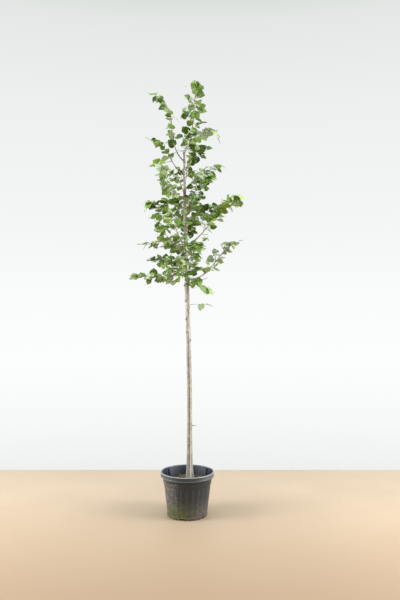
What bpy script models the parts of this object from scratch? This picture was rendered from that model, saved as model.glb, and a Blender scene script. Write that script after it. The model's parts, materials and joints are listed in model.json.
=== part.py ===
"""Young small-leaved linden with one straight stem and a feathered crown, in a round nursery pot.

Metres, +Z up, and -Y is the front. The origin is the centre of the pot's flat underside.
The stem is one tapering limb from a flat cut on the compost to the tip of its leader. Each
bough leaves it in a snug seat, and each mass of leaves is a lumpy body bent along its shoot.
"""

import math
import random
from collections import namedtuple

import bmesh
import bpy
from mathutils import Vector

GAP = 0.0003
MERGE = 0.00005

# Pot
POT_HEIGHT = 0.320
POT_STEPS = 36
RIM_RADIUS = 0.200
RIM_DEPTH = 0.036
RIM_DRAFT = 0.003
LIP_ROUND = 0.005
LIP_INSET = 0.0072
NECK_RADIUS = 0.1835
COLLAR_DEPTH = 0.050
COLLAR_STEP = 0.0025
FOOT_RADIUS = 0.1485
FOOT_ROUND = 0.006
WALL = 0.0035
FLOOR = 0.005
DRAINS = 6
DRAIN_TURN = math.radians(-104)
DRAIN_WIDTH = 0.034
DRAIN_HEIGHT = 0.009
DRAIN_REACH = 0.030
DRAIN_OUT = 0.0075

# Compost
SOIL_TOP = 0.262

# Stem and leader
STEM_FOOT_X = 0.016
LEAN = 0.040
LEAN_FROM = 0.70
LEADER_HEIGHT = 2.69
LEADER_KINK = 0.042
KINK_RISE = 0.140
LEADER_TILT = 0.089
STEM_WANDER = 0.005
WANDER_PERIOD = 1.3
TREE_TOP = 3.225
STEM_RADIUS = 0.0175
FLARE = 0.0150
FLARE_RISE = 0.16
TAPER_FROM = 1.60
TAPER_POWER = 1.3
CUT_RADIUS = 0.0075
LEADER_RADIUS = 0.0052
TIP_RADIUS = 0.0018
STEM_RINGS = 30
FLARE_RINGS = (0.02, 0.05)
KINK_RINGS = (-0.01, 0.03)
STEM_RESOLUTION = 4

# Boughs and masses
BOUGH_RINGS = 8
BOUGH_RESOLUTION = 1
BOUGH_TAPER = 0.65
SHOOT_STEPS = 24
STEPS_PAST_TIP = 4
SOCKET = 0.015
LUMP_AROUND = 8
LUMP_ALONG = 7
SPRAY_FLAT = 0.75
LEADER_FLAT = 0.90
UNEVEN = 0.20
LOBES = (1.6, 2.6)
AIM = 0.05
UPRIGHT = 0.05
HANG = 0.018
HANG_WITHIN = 1 / 3

SOIL = (0.045, 0.035, 0.025)
BLACK_PLASTIC = (0.035, 0.037, 0.040)
BARK = (0.42, 0.37, 0.29)
LEAF = (0.10, 0.21, 0.05)

# A shoot leaves the stem at a height, or its parent shoot at a share of its length. It sets
# out towards an azimuth (0 is +X, 90 is +Y), which swings by so many degrees along its
# length, and its rise above the level changes from base to middle to tip.
Shoot = namedtuple("Shoot", "parent at azimuth swing rises length radius")

SHOOTS = {
    "left_1": Shoot(None, 2.636, 195, -25, (36, 84, 13), 0.600, 0.0050),
    "left_2": Shoot(None, 2.531, 165, 20, (28, 61, 5), 0.380, 0.0045),
    "left_2_side": Shoot("left_2", 0.40, 195, 10, (-12, -20, -15), 0.150, 0.0022),
    "left_3": Shoot(None, 2.348, 205, -20, (10, 51, 64), 0.290, 0.0040),
    "left_4": Shoot(None, 2.166, 165, 25, (26, 38, 0), 0.340, 0.0050),
    "left_5": Shoot(None, 1.926, 200, -30, (30, 51, 50), 0.350, 0.0050),
    "left_5_side": Shoot("left_5", 0.56, 195, -15, (-25, -22, 5), 0.190, 0.0024),
    "left_6": Shoot(None, 1.830, 150, 30, (31, 16, -10), 0.290, 0.0045),
    "left_7": Shoot(None, 1.815, 182, 0, (-33, -1, -3), 0.425, 0.0055),
    "right_1": Shoot(None, 2.803, -15, 10, (10, 22, -40), 0.210, 0.0032),
    "right_2": Shoot(None, 2.560, -40, 20, (55, 50, 10), 0.240, 0.0038),
    "right_3": Shoot(None, 2.423, 20, -20, (47, 37, 17), 0.320, 0.0042),
    "right_4": Shoot(None, 2.322, -35, 10, (53, 28, 29), 0.270, 0.0042),
    "right_5": Shoot(None, 2.125, 20, 0, (50, 44, 11), 0.285, 0.0045),
    "right_6": Shoot(None, 1.997, -12, 20, (22, 53, 10), 0.565, 0.0055),
    "right_7": Shoot(None, 1.745, 10, -20, (-8, 52, 13), 0.500, 0.0052),
    "right_8": Shoot(None, 1.715, -40, 0, (25, -35, -65), 0.215, 0.0036),
    "front_1": Shoot(None, 2.200, 285, -5, (45, 35, 20), 0.300, 0.0042),
    "front_2": Shoot(None, 1.950, 246, 10, (40, 35, 15), 0.310, 0.0046),
    "front_3": Shoot(None, 1.860, 298, -15, (35, 25, 5), 0.310, 0.0048),
    "front_4": Shoot(None, 1.775, 250, 5, (5, 15, 5), 0.360, 0.0050),
    "back_1": Shoot(None, 2.465, 75, 15, (50, 55, 35), 0.240, 0.0036),
    "back_2": Shoot(None, 2.375, 115, 5, (55, 50, 30), 0.300, 0.0042),
    "back_3": Shoot(None, 2.215, 100, -15, (45, 45, 25), 0.320, 0.0044),
    "back_4": Shoot(None, 2.045, 82, 5, (40, 40, 20), 0.340, 0.0048),
    "back_5": Shoot(None, 1.900, 122, -10, (35, 30, 10), 0.360, 0.0050),
    "back_6": Shoot(None, 1.790, 80, 10, (15, 20, 5), 0.350, 0.0050),
    "sprig": Shoot(None, 1.555, -5, 5, (5, 0, -15), 0.150, 0.0018),
}

# Where a shoot's leaves start and end along it, as shares of its length, and the half width.
Mass = namedtuple("Mass", "shoot start end half_width")

MASSES = {
    "left_1_low": Mass("left_1", 0.22, 0.56, 0.050),
    "left_1_tip": Mass("left_1", 0.60, 1.05, 0.058),
    "left_2_tip": Mass("left_2", 0.56, 1.05, 0.050),
    "left_2_side": Mass("left_2_side", 0.22, 1.10, 0.040),
    "left_3": Mass("left_3", 0.16, 1.10, 0.066),
    "left_4_inner": Mass("left_4", 0.15, 0.53, 0.058),
    "left_4_tip": Mass("left_4", 0.54, 1.06, 0.072),
    "left_5_tip": Mass("left_5", 0.66, 1.12, 0.055),
    "left_5_side": Mass("left_5_side", 0.14, 1.05, 0.040),
    "left_6": Mass("left_6", 0.20, 1.06, 0.064),
    "left_7_inner": Mass("left_7", 0.08, 0.57, 0.066),
    "left_7_tip": Mass("left_7", 0.58, 1.03, 0.040),
    "right_1": Mass("right_1", 0.42, 1.05, 0.046),
    "right_2": Mass("right_2", 0.20, 1.10, 0.066),
    "right_3": Mass("right_3", 0.18, 1.05, 0.058),
    "right_4": Mass("right_4", 0.00, 1.08, 0.058),
    "right_5": Mass("right_5", 0.00, 1.08, 0.068),
    "right_6_inner": Mass("right_6", 0.28, 0.585, 0.052),
    "right_6_tip": Mass("right_6", 0.59, 1.04, 0.070),
    "right_7_inner": Mass("right_7", 0.14, 0.62, 0.052),
    "right_7_tip": Mass("right_7", 0.66, 1.04, 0.044),
    "right_8": Mass("right_8", 0.00, 1.05, 0.055),
    "front_1": Mass("front_1", 0.00, 1.05, 0.058),
    "front_2": Mass("front_2", 0.00, 1.05, 0.058),
    "front_3": Mass("front_3", 0.00, 1.05, 0.060),
    "front_4": Mass("front_4", 0.12, 1.05, 0.060),
    "back_1": Mass("back_1", 0.16, 1.08, 0.050),
    "back_2": Mass("back_2", 0.14, 1.05, 0.056),
    "back_3": Mass("back_3", 0.00, 1.05, 0.058),
    "back_4": Mass("back_4", 0.00, 1.05, 0.060),
    "back_5": Mass("back_5", 0.12, 1.05, 0.062),
    "back_6": Mass("back_6", 0.00, 1.05, 0.060),
    "sprig": Mass("sprig", 0.42, 1.12, 0.036),
}

# The leader carries its leaves on spurs all round, in masses from one height to another.
LEADER_MASSES = {
    "leader_low": (2.830, 2.955, 0.072),
    "leader_mid": (2.960, 3.105, 0.105),
    "leader_top": (3.110, 3.250, 0.082),
}


def clear_scene():
    for old in list(bpy.data.objects):
        bpy.data.objects.remove(old, do_unlink=True)


def collection(name):
    made = bpy.data.collections.new(name)
    bpy.context.scene.collection.children.link(made)
    return made


def material(name, colour, roughness):
    made = bpy.data.materials.new(name)
    made.use_nodes = True
    shader = made.node_tree.nodes["Principled BSDF"]
    shader.inputs["Base Color"].default_value = (*colour, 1.0)
    shader.inputs["Roughness"].default_value = roughness
    shader.inputs["Metallic"].default_value = 0.0
    return made


def new_object(name, mesh, place, look=None):
    made = bpy.data.objects.new(name, mesh)
    place.objects.link(made)
    if look:
        mesh.materials.append(look)
    return made


def hide_as_cutter(cutter):
    cutter.hide_render = True
    cutter.display_type = "WIRE"
    return cutter


def cut(piece, cutter):
    difference = piece.modifiers.new("cut_" + cutter.name, "BOOLEAN")
    difference.operation = "DIFFERENCE"
    difference.solver = "EXACT"
    difference.object = cutter


def smoothstep(share):
    share = min(max(share, 0.0), 1.0)
    return share * share * (3 - 2 * share)


# ---- pot and compost ----


def wall_radius(height):
    """Outer radius of the pot's conical wall."""
    neck_height = POT_HEIGHT - RIM_DEPTH
    return FOOT_RADIUS + (NECK_RADIUS - FOOT_RADIUS) * height / neck_height


def turned(name, profile, steps, place, look=None):
    """A profile of (radius, height) points, turned round the Z axis."""
    mesh = bpy.data.meshes.new(name)
    edges = [(i, i + 1) for i in range(len(profile) - 1)]
    mesh.from_pydata([(radius, 0.0, height) for radius, height in profile], edges, [])
    made = new_object(name, mesh, place, look)
    screw = made.modifiers.new("turn", "SCREW")
    screw.steps = steps
    screw.render_steps = steps
    screw.use_merge_vertices = True
    screw.merge_threshold = MERGE
    screw.use_smooth_shade = True
    return made


def pot_profile():
    """Inner floor, up the inner wall, over the lip, down the rim band and the outer wall."""
    neck_height = POT_HEIGHT - RIM_DEPTH
    collar_foot = neck_height - COLLAR_DEPTH
    lip_out = RIM_RADIUS - LIP_ROUND
    lip_in = NECK_RADIUS - WALL + LIP_INSET
    return [
        (0.0, FLOOR),
        (wall_radius(FLOOR) - WALL, FLOOR),
        (wall_radius(neck_height) - WALL, neck_height),
        (lip_in, POT_HEIGHT - LIP_ROUND),
        (lip_in + LIP_ROUND, POT_HEIGHT),
        (lip_out, POT_HEIGHT),
        (RIM_RADIUS, POT_HEIGHT - LIP_ROUND),
        (RIM_RADIUS - RIM_DRAFT, neck_height),
        (wall_radius(neck_height), neck_height),
        (wall_radius(collar_foot), collar_foot),
        (wall_radius(collar_foot) - COLLAR_STEP, collar_foot - COLLAR_STEP),
        (wall_radius(FOOT_ROUND), FOOT_ROUND),
        (FOOT_RADIUS - FOOT_ROUND, 0.0),
        (0.0, 0.0),
    ]


def make_drain_cutter(index, place):
    """A low slot through the corner where the wall meets the floor."""
    mesh = bpy.data.meshes.new(f"drain_{index}")
    shape = bmesh.new()
    bmesh.ops.create_cube(shape, size=1.0)
    size = Vector((DRAIN_REACH, DRAIN_WIDTH, 2 * DRAIN_HEIGHT))
    bmesh.ops.scale(shape, vec=size, verts=shape.verts)
    shape.to_mesh(mesh)
    shape.free()
    cutter = new_object(f"drain_{index}", mesh, place)
    turn = DRAIN_TURN + index * math.tau / DRAINS
    reach = FOOT_RADIUS - DRAIN_OUT
    cutter.location = (reach * math.cos(turn), reach * math.sin(turn), 0.0)
    cutter.rotation_euler[2] = turn
    return hide_as_cutter(cutter)


def make_pot(parts, cutters):
    look = material("black_plastic", BLACK_PLASTIC, 0.55)
    pot = turned("pot", pot_profile(), POT_STEPS, parts, look)
    for index in range(DRAINS):
        cut(pot, make_drain_cutter(index, cutters))
    return pot


def make_soil(parts):
    top_radius = wall_radius(SOIL_TOP) - WALL - GAP
    foot_radius = wall_radius(FLOOR) - WALL - GAP
    profile = [
        (0.0, SOIL_TOP),
        (top_radius, SOIL_TOP),
        (foot_radius, FLOOR + GAP),
        (0.0, FLOOR + GAP),
    ]
    look = material("compost", SOIL, 0.95)
    return turned("soil", profile, POT_STEPS, parts, look)


# ---- limbs ----


def stem_point(height):
    """The stem's axis: upright, then a slow lean, then the leader's kink round the old cut."""
    lean = LEAN * smoothstep((height - LEAN_FROM) / (LEADER_HEIGHT - LEAN_FROM))
    over = max(height - LEADER_HEIGHT, 0.0)
    kink = LEADER_KINK * smoothstep(over / KINK_RISE) + LEADER_TILT * over
    wander = STEM_WANDER * math.sin(math.tau * (height - SOIL_TOP) / WANDER_PERIOD)
    return Vector((STEM_FOOT_X - lean + kink, wander, height))


def stem_radius(height):
    if height > LEADER_HEIGHT:
        share = (height - LEADER_HEIGHT) / (TREE_TOP - LEADER_HEIGHT)
        return LEADER_RADIUS + (TIP_RADIUS - LEADER_RADIUS) * share
    flare = FLARE * math.exp((SOIL_TOP - height) / FLARE_RISE)
    share = max(height - TAPER_FROM, 0.0) / (LEADER_HEIGHT - TAPER_FROM)
    return STEM_RADIUS + flare - (STEM_RADIUS - CUT_RADIUS) * share**TAPER_POWER


def limb_mesh(name, points, radii, resolution):
    """A tapering limb: a bevelled curve through the points, made a mesh with its caps welded."""
    curve = bpy.data.curves.new(name, "CURVE")
    curve.dimensions = "3D"
    curve.bevel_depth = 1.0
    curve.bevel_resolution = resolution
    curve.use_fill_caps = True
    spline = curve.splines.new("POLY")
    spline.points.add(len(points) - 1)
    for target, point, radius in zip(spline.points, points, radii):
        target.co = (*point, 1.0)
        target.radius = radius
    holder = bpy.data.objects.new(name, curve)
    bpy.context.scene.collection.objects.link(holder)
    bpy.context.view_layer.update()
    graph = bpy.context.evaluated_depsgraph_get()
    mesh = bpy.data.meshes.new_from_object(holder.evaluated_get(graph))
    bpy.data.objects.remove(holder, do_unlink=True)
    bpy.data.curves.remove(curve)
    shape = bmesh.new()
    shape.from_mesh(mesh)
    bmesh.ops.remove_doubles(shape, verts=shape.verts, dist=MERGE)
    bmesh.ops.recalc_face_normals(shape, faces=shape.faces)
    shape.to_mesh(mesh)
    shape.free()
    mesh.shade_smooth()
    return mesh


def stem_heights(foot, top):
    """Ring heights, closer together in the flare and in the leader's kink."""
    heights = []
    for index in range(STEM_RINGS):
        share = index / (STEM_RINGS - 1)
        heights.append(foot + (top - foot) * share)
    near_foot = [foot + rise for rise in FLARE_RINGS]
    near_kink = [LEADER_HEIGHT + rise for rise in KINK_RINGS]
    return sorted(heights + near_foot + near_kink)


def make_trunk(parts, cutters, look):
    foot = SOIL_TOP + GAP
    heights = stem_heights(foot, TREE_TOP)
    points = [stem_point(height) for height in heights]
    points[0] = Vector((points[1].x, points[1].y, foot))
    radii = [stem_radius(height) for height in heights]
    mesh = limb_mesh("trunk", points, radii, STEM_RESOLUTION)
    new_object("trunk", mesh, parts, look)
    points[0].z -= GAP
    points[-1].z += GAP
    radii = [radius + GAP for radius in radii]
    mesh = limb_mesh("trunk_sleeve", points, radii, STEM_RESOLUTION)
    return hide_as_cutter(new_object("trunk_sleeve", mesh, cutters))


def rise_at(rises, share):
    """Rise in degrees along a shoot, on the parabola through its base, middle and tip."""
    base, middle, tip = rises
    at_base = base * (1 - share) * (1 - 2 * share)
    at_middle = middle * 4 * share * (1 - share)
    at_tip = tip * share * (2 * share - 1)
    return math.radians(at_base + at_middle + at_tip)


def grow(shoot):
    """Points along a shoot's axis, one after each step, from its seat to past its tip."""
    if shoot.parent:
        start = at_share(shoot.parent, shoot.at)
    else:
        start = stem_point(shoot.at)
    points = [start]
    step = shoot.length / SHOOT_STEPS
    for index in range(SHOOT_STEPS + STEPS_PAST_TIP):
        share = min((index + 0.5) / SHOOT_STEPS, 1.0)
        rise = rise_at(shoot.rises, share)
        heading = math.radians(shoot.azimuth + shoot.swing * share)
        level = math.cos(rise)
        direction = (math.cos(heading) * level, math.sin(heading) * level, math.sin(rise))
        points.append(points[-1] + Vector(direction) * step)
    return points


def at_share(name, share):
    """The point at a share of a shoot's length, which may run a little past its tip."""
    points = AXES[name]
    place = share * SHOOT_STEPS
    low = min(int(place), len(points) - 2)
    return points[low].lerp(points[low + 1], place - low)


def bough_radius(shoot, share):
    return shoot.radius * (1.0 - BOUGH_TAPER * share)


def limb_of(name, end, grown_by):
    """The mesh of a shoot's limb from its seat to a share of its length."""
    shoot = SHOOTS[name]
    shares = [end * index / (BOUGH_RINGS - 1) for index in range(BOUGH_RINGS)]
    points = [at_share(name, share) for share in shares]
    points[-1] += (points[-1] - points[-2]).normalized() * grown_by
    radii = [bough_radius(shoot, share) + grown_by for share in shares]
    return limb_mesh(name, points, radii, BOUGH_RESOLUTION)


# ---- masses of leaves ----


def level_across(ahead):
    """The level direction across a line, or +Y where the line is all but upright."""
    level = Vector((-ahead.y, ahead.x, 0.0))
    return level.normalized() if level.length > UPRIGHT else Vector((0.0, 1.0, 0.0))


def lump(name, axis, half_width, flat):
    """A closed, uneven body bent along an axis, which takes a share from 0 to 1 to a point."""
    chance = random.Random(name)
    shape = bmesh.new()
    bmesh.ops.create_uvsphere(
        shape, u_segments=LUMP_AROUND, v_segments=LUMP_ALONG, radius=1.0
    )
    lobes = chance.uniform(*LOBES)
    phase = chance.uniform(0.0, math.tau)
    for vert in shape.verts:
        share = (vert.co.z + 1) / 2
        ahead = axis(min(share + AIM, 1.0)) - axis(max(share - AIM, 0.0))
        ahead.normalize()
        sideways = level_across(ahead)
        upwards = ahead.cross(sideways)
        lobe = 1 + UNEVEN * math.sin(math.tau * lobes * share + phase)
        reach = half_width * lobe * (1 + UNEVEN * chance.uniform(-1, 1))
        across = sideways * vert.co.x * reach
        above = upwards * vert.co.y * (reach * flat)
        vert.co = axis(share) + across + above
    bmesh.ops.recalc_face_normals(shape, faces=shape.faces)
    mesh = bpy.data.meshes.new(name)
    shape.to_mesh(mesh)
    shape.free()
    return mesh


def mass_axis(mass):
    """The shoot's own line, let down a little, because leaves hang from their twig."""

    def axis(share):
        point = at_share(mass.shoot, mass.start + (mass.end - mass.start) * share)
        return point - Vector((0.0, 0.0, HANG * smoothstep(share / HANG_WITHIN)))

    return axis


def leader_axis(low, high):
    def axis(share):
        return stem_point(low + (high - low) * share)

    return axis


def make_boughs(parts, cutters, trunk_sleeve, look):
    """Each bough reaches into the mass that starts furthest out. It returns their sleeves."""
    sleeves = {}
    for name, shoot in SHOOTS.items():
        starts = [mass.start for mass in MASSES.values() if mass.shoot == name]
        if min(starts) == 0:
            continue
        end = max(starts) + SOCKET / shoot.length
        bough = new_object("bough_" + name, limb_of(name, end, 0.0), parts, look)
        sleeve = new_object("sleeve_" + name, limb_of(name, end, GAP), cutters)
        sleeves[name] = hide_as_cutter(sleeve)
        cut(bough, sleeves[shoot.parent] if shoot.parent else trunk_sleeve)
    return sleeves


def make_masses(parts, trunk_sleeve, bough_sleeves, look):
    for name, mass in MASSES.items():
        mesh = lump("leaves_" + name, mass_axis(mass), mass.half_width, SPRAY_FLAT)
        made = new_object("leaves_" + name, mesh, parts, look)
        cut(made, bough_sleeves.get(mass.shoot, trunk_sleeve))
    for name, (low, high, half_width) in LEADER_MASSES.items():
        mesh = lump("leaves_" + name, leader_axis(low, high), half_width, LEADER_FLAT)
        made = new_object("leaves_" + name, mesh, parts, look)
        cut(made, trunk_sleeve)


def main():
    clear_scene()
    parts = collection("linden_tree")
    cutters = collection("cutters")
    make_pot(parts, cutters)
    make_soil(parts)
    bark = material("bark", BARK, 0.85)
    leaf = material("leaf", LEAF, 0.60)
    trunk_sleeve = make_trunk(parts, cutters, bark)
    for name, shoot in SHOOTS.items():
        AXES[name] = grow(shoot)
    bough_sleeves = make_boughs(parts, cutters, trunk_sleeve, bark)
    make_masses(parts, trunk_sleeve, bough_sleeves, leaf)


# The points along each shoot's axis, by name, filled in from base to tip.
AXES = {}
main()
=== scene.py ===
import json
import math
import random
from collections import namedtuple

import bpy
import numpy as np
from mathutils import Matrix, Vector, noise

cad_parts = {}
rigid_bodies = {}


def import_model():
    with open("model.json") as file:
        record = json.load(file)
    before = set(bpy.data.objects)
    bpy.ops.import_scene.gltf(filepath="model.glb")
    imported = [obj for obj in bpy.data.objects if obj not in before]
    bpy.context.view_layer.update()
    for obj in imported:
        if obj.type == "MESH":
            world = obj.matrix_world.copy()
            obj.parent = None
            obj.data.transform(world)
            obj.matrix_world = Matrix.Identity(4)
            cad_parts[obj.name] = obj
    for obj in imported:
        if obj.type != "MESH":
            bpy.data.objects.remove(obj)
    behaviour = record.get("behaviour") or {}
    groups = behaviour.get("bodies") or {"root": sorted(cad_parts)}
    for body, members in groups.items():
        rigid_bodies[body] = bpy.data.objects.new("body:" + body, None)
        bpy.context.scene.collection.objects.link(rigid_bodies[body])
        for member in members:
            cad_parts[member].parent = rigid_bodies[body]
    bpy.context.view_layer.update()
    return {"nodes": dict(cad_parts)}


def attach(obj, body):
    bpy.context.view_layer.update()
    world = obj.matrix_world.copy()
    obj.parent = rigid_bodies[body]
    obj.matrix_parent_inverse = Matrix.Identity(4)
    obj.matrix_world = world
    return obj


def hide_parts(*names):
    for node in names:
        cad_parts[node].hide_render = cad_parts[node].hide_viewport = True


# A young small-leaved linden in a round black nursery pot. The stem, the leader and the shoots
# follow the lines of the solids they replace, to within a few centimetres at a shoot's tip.
# Along each shoot a seeded rule sets side twigs, and along shoots and twigs leaves on stalks.
# Metres, +Z up, the front faces -Y, and the origin is the centre of the pot's underside.

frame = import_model()

# Camera
CAMERA_PLACE = (0.0937, -4.375, 1.4536)
CAMERA_PITCH = math.radians(1.797)
CAMERA_LENS = 35.0
CAMERA_SENSOR = 36.0

# Pot: its lip, rim and collar, its ribs and panels, its drain notches and its stacking lugs.
POT_HEIGHT = 0.320
RIM_RADIUS = 0.200
RIM_DEPTH = 0.036
NECK_RADIUS = 0.1835
NECK_HEIGHT = POT_HEIGHT - RIM_DEPTH
COLLAR_FOOT = NECK_HEIGHT - 0.050
FOOT_RADIUS = 0.1485
FOOT_ROUND = 0.006
LIP_ROUND = 0.0055
WALL = 0.0035
FLOOR = 0.005
POT_SIDES = 240
RIBS = 24
RIB_FACETS = 2
RIB_RISE = 0.0026
RIB_SLOPE = 0.0006
RIB_STOP = 0.05
PANEL_STEP = 0.0033
DRAINS = 6
DRAIN_TURN = math.radians(-104)
DRAIN_WIDTH = 0.034
DRAIN_HEIGHT = 0.014
DRAIN_REACH = 0.032
DRAIN_ROUND = 0.0025
LUG_TURNS = (38, 142, 222, 318)
LUG_SIZE = (0.010, 0.013, 0.062)
LUG_ROUND = 0.0018

# Compost: its height at the wall, its mound, its roughness and its gap to the wall.
SOIL_EDGE = 0.252
SOIL_MOUND = 0.011
SOIL_ROUGH = 0.0035
SOIL_GAP = 0.0004
SOIL_SIDES = 144
SOIL_RINGS = 44

# Stem and leader: the axis's lean, kink and wander, the girth's flare and taper, the old cut.
SOIL_TOP = 0.262
STEM_FOOT_X = 0.016
LEAN = 0.040
LEAN_FROM = 0.70
LEADER_HEIGHT = 2.69
LEADER_KINK = 0.042
KINK_RISE = 0.140
LEADER_TILT = 0.089
STEM_WANDER = 0.005
WANDER_PERIOD = 1.3
TREE_TOP = 3.225
STEM_RADIUS = 0.0175
FLARE = 0.0105
FLARE_RISE = 0.20
TAPER_FROM = 1.60
TAPER_POWER = 1.3
CUT_RADIUS = 0.0075
CUT_LENGTH = 0.050
CUT_SUNK = 0.030
CUT_LEAN = 0.00525
CUT_SLOPE = 0.35
LEADER_RADIUS = 0.0052
TIP_RADIUS = 0.0018
STEM_SIDES = 96
STEM_CUTS = 26

# Shoots: how finely each is drawn, the radius it loses by its tip, its girth beside the solid's,
# and how far it wobbles, as a share of its radius.
SHOOT_STEPS = 24
BOUGH_TAPER = 0.65
LIMB_GIRTH = 0.85
WOBBLE = 0.5
WOBBLE_SEED = 5

# ---- growth ----

# A shoot leaves the stem at a height, or its parent shoot at a share of its length. It sets out
# towards an azimuth (0 is +X, 90 is +Y), which swings by so many degrees along its length, and
# its rise above the level changes from base to middle to tip. It is bare up to a share of its
# length, carries so many side twigs of about such a reach, and leaves of about such a width.
Shoot = namedtuple(
    "Shoot", "parent at azimuth swing rises length radius bare twigs reach leaf seed tint"
)

SHOOTS = {
    "left_1": Shoot(None, 2.636, 195, -25, (36, 84, 13), 0.600, 0.0050, 0.10, 3, 0.05, 0.066, 730, "muted"),
    "left_2": Shoot(None, 2.531, 165, 20, (28, 61, 5), 0.380, 0.0045, 0.35, 4, 0.06, 0.058, 1178, "green"),
    "left_2_side": Shoot(
        "left_2", 0.40, 195, 10, (-12, -20, -15), 0.150, 0.0022, 0.30, 0, 0.04, 0.066, 863, "young"
    ),
    "left_3": Shoot(None, 2.348, 205, -20, (10, 51, 64), 0.290, 0.0040, 0.18, 11, 0.10, 0.052, 436, "pale"),
    "left_4": Shoot(None, 2.166, 165, 25, (26, 38, 0), 0.340, 0.0050, 0.15, 14, 0.11, 0.055, 598, "green"),
    "left_5": Shoot(None, 1.926, 200, -30, (30, 51, 50), 0.350, 0.0050, 0.48, 6, 0.07, 0.056, 571, "light"),
    "left_5_side": Shoot(
        "left_5", 0.56, 195, -15, (-25, -22, 5), 0.190, 0.0024, 0.05, 3, 0.06, 0.058, 496, "green"
    ),
    "left_6": Shoot(None, 1.830, 150, 30, (31, 16, -10), 0.290, 0.0045, 0.15, 10, 0.08, 0.055, 293, "green"),
    "left_7": Shoot(None, 1.815, 182, 0, (-33, -1, -3), 0.425, 0.0055, 0.10, 12, 0.08, 0.056, 1604, "light"),
    "right_1": Shoot(None, 2.803, -15, 10, (10, 22, -40), 0.210, 0.0032, 0.40, 2, 0.05, 0.070, 416, "pale"),
    "right_2": Shoot(None, 2.560, -40, 20, (55, 50, 10), 0.240, 0.0038, 0.15, 6, 0.08, 0.062, 38, "deep"),
    "right_3": Shoot(None, 2.423, 20, -20, (47, 37, 17), 0.320, 0.0042, 0.20, 9, 0.08, 0.056, 132, "pale"),
    "right_4": Shoot(None, 2.322, -35, 10, (53, 28, 29), 0.270, 0.0042, 0.10, 8, 0.08, 0.052, 209, "deep"),
    "right_5": Shoot(None, 2.125, 20, 0, (50, 44, 11), 0.285, 0.0045, 0.12, 9, 0.09, 0.055, 557, "green"),
    "right_6": Shoot(None, 1.997, -12, 20, (22, 53, 10), 0.565, 0.0055, 0.28, 12, 0.08, 0.064, 1448, "sunny"),
    "right_7": Shoot(None, 1.745, 10, -20, (-8, 52, 13), 0.500, 0.0052, 0.22, 7, 0.08, 0.056, 106, "pale"),
    "right_8": Shoot(None, 1.715, -40, 0, (20, -25, -35), 0.215, 0.0036, 0.10, 6, 0.07, 0.055, 488, "green"),
    "front_1": Shoot(None, 2.200, 285, -5, (30, 25, 5), 0.300, 0.0042, 0.15, 7, 0.08, 0.052, 347, "deep"),
    "front_2": Shoot(None, 1.950, 246, 10, (40, 35, 15), 0.310, 0.0046, 0.15, 7, 0.09, 0.055, 451, "green"),
    "front_3": Shoot(None, 1.860, 298, -15, (35, 25, 5), 0.310, 0.0048, 0.12, 8, 0.09, 0.056, 545, "green"),
    "front_4": Shoot(None, 1.775, 250, 5, (5, 15, 5), 0.360, 0.0050, 0.15, 10, 0.10, 0.055, 119, "deep"),
    "back_1": Shoot(None, 2.465, 75, 15, (50, 55, 35), 0.240, 0.0036, 0.25, 3, 0.05, 0.050, 104, "deep"),
    "back_2": Shoot(None, 2.375, 115, 5, (55, 50, 30), 0.300, 0.0042, 0.25, 5, 0.07, 0.050, 272, "green"),
    "back_3": Shoot(None, 2.215, 100, -15, (45, 45, 25), 0.320, 0.0044, 0.18, 8, 0.09, 0.054, 41, "deep"),
    "back_4": Shoot(None, 2.045, 82, 5, (40, 40, 20), 0.340, 0.0048, 0.15, 8, 0.09, 0.055, 389, "deep"),
    "back_5": Shoot(None, 1.900, 122, -10, (35, 30, 10), 0.360, 0.0050, 0.15, 9, 0.10, 0.055, 584, "green"),
    "back_6": Shoot(None, 1.790, 80, 10, (15, 20, 5), 0.350, 0.0050, 0.12, 7, 0.09, 0.055, 458, "green"),
    "sprig": Shoot(None, 1.555, -5, 5, (5, 0, -15), 0.125, 0.0018, 0.60, 0, 0.05, 0.070, 1170, "light"),
}

# The leader carries spurs and single leaves all round, from one height to another.
Leader = namedtuple("Leader", "low high gap seed tint")
LEADER = Leader(2.735, 3.218, 0.0145, 2063, "muted")

# Leaves along a shoot: the gap between two, how they crowd towards the tip, and their sizes.
NODE_GAP = 0.026
FIRST_GAP = 0.3
CROWDING = 0.85
LEAF_SPREAD = (0.70, 1.19)
BASE_SIZE = 1.05
SIZE_LOSS = 0.25
END_LEAF = 0.75

# Side twigs: where along a shoot they stand, and how their length and heading vary.
TWIG_GAP = 0.0185
TWIG_STEPS = 6
TWIG_PLACE = (0.1, 0.9)
LAST_TWIG = 0.90
TWIG_SPREAD = (0.6, 1.3)
TWIG_ASIDE = (0.4, 1.0)
TWIG_LIFT = (-0.5, 0.6)
TWIG_STRAY = 0.15
TWIG_WANDER = 0.07
TWIG_BARE = 0.35
TWIG_LEAF = 0.95

# The leader's spurs and single leaves, each turned on from the last, and its tip's leaves.
GOLDEN_TURN = 137.5
SPUR_GAP = 0.018
SPUR_LEAF = 0.060
SPUR_BARE = 0.30
SPUR_RISE = (5, 45)
SPUR_REACH = (0.040, 0.100)
SINGLE_LEAF = 0.062
SINGLE_SPREAD = (0.7, 1.0)
TOP_LEAVES = 4
TOP_LEAF = SPUR_LEAF * 0.58
TOP_RISE = (-20, 20)

# How a leaf sits: its stalk's aim ahead, aside and up, the blade's droop, and the way it faces.
STALK_AHEAD = 0.55
STALK_ASIDE = 0.75
STALK_UP = 0.25
STALK_REACH = (0.35, 0.60)
BLADE_ON = 0.7
BLADE_OUT = 0.25
LEAF_STRAY = 0.30
LEAF_DROOP = (0.05, 0.65)
FACE_UP = 0.95
FACE_OUT = 0.40
FACE_STRAY = 0.40
BLADE_SHAPES = 6

# The room that the leaves' tips keep to.
CROWN_LOW = (-0.448, -0.366, 1.40)
CROWN_HIGH = (0.446, 0.372, 3.27)

UP = np.array((0.0, 0.0, 1.0))

# Added to a sum that could come to nothing, before it is made a unit long.
NUDGE = 1e-6
NUDGE_UP = 1e-4

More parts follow.
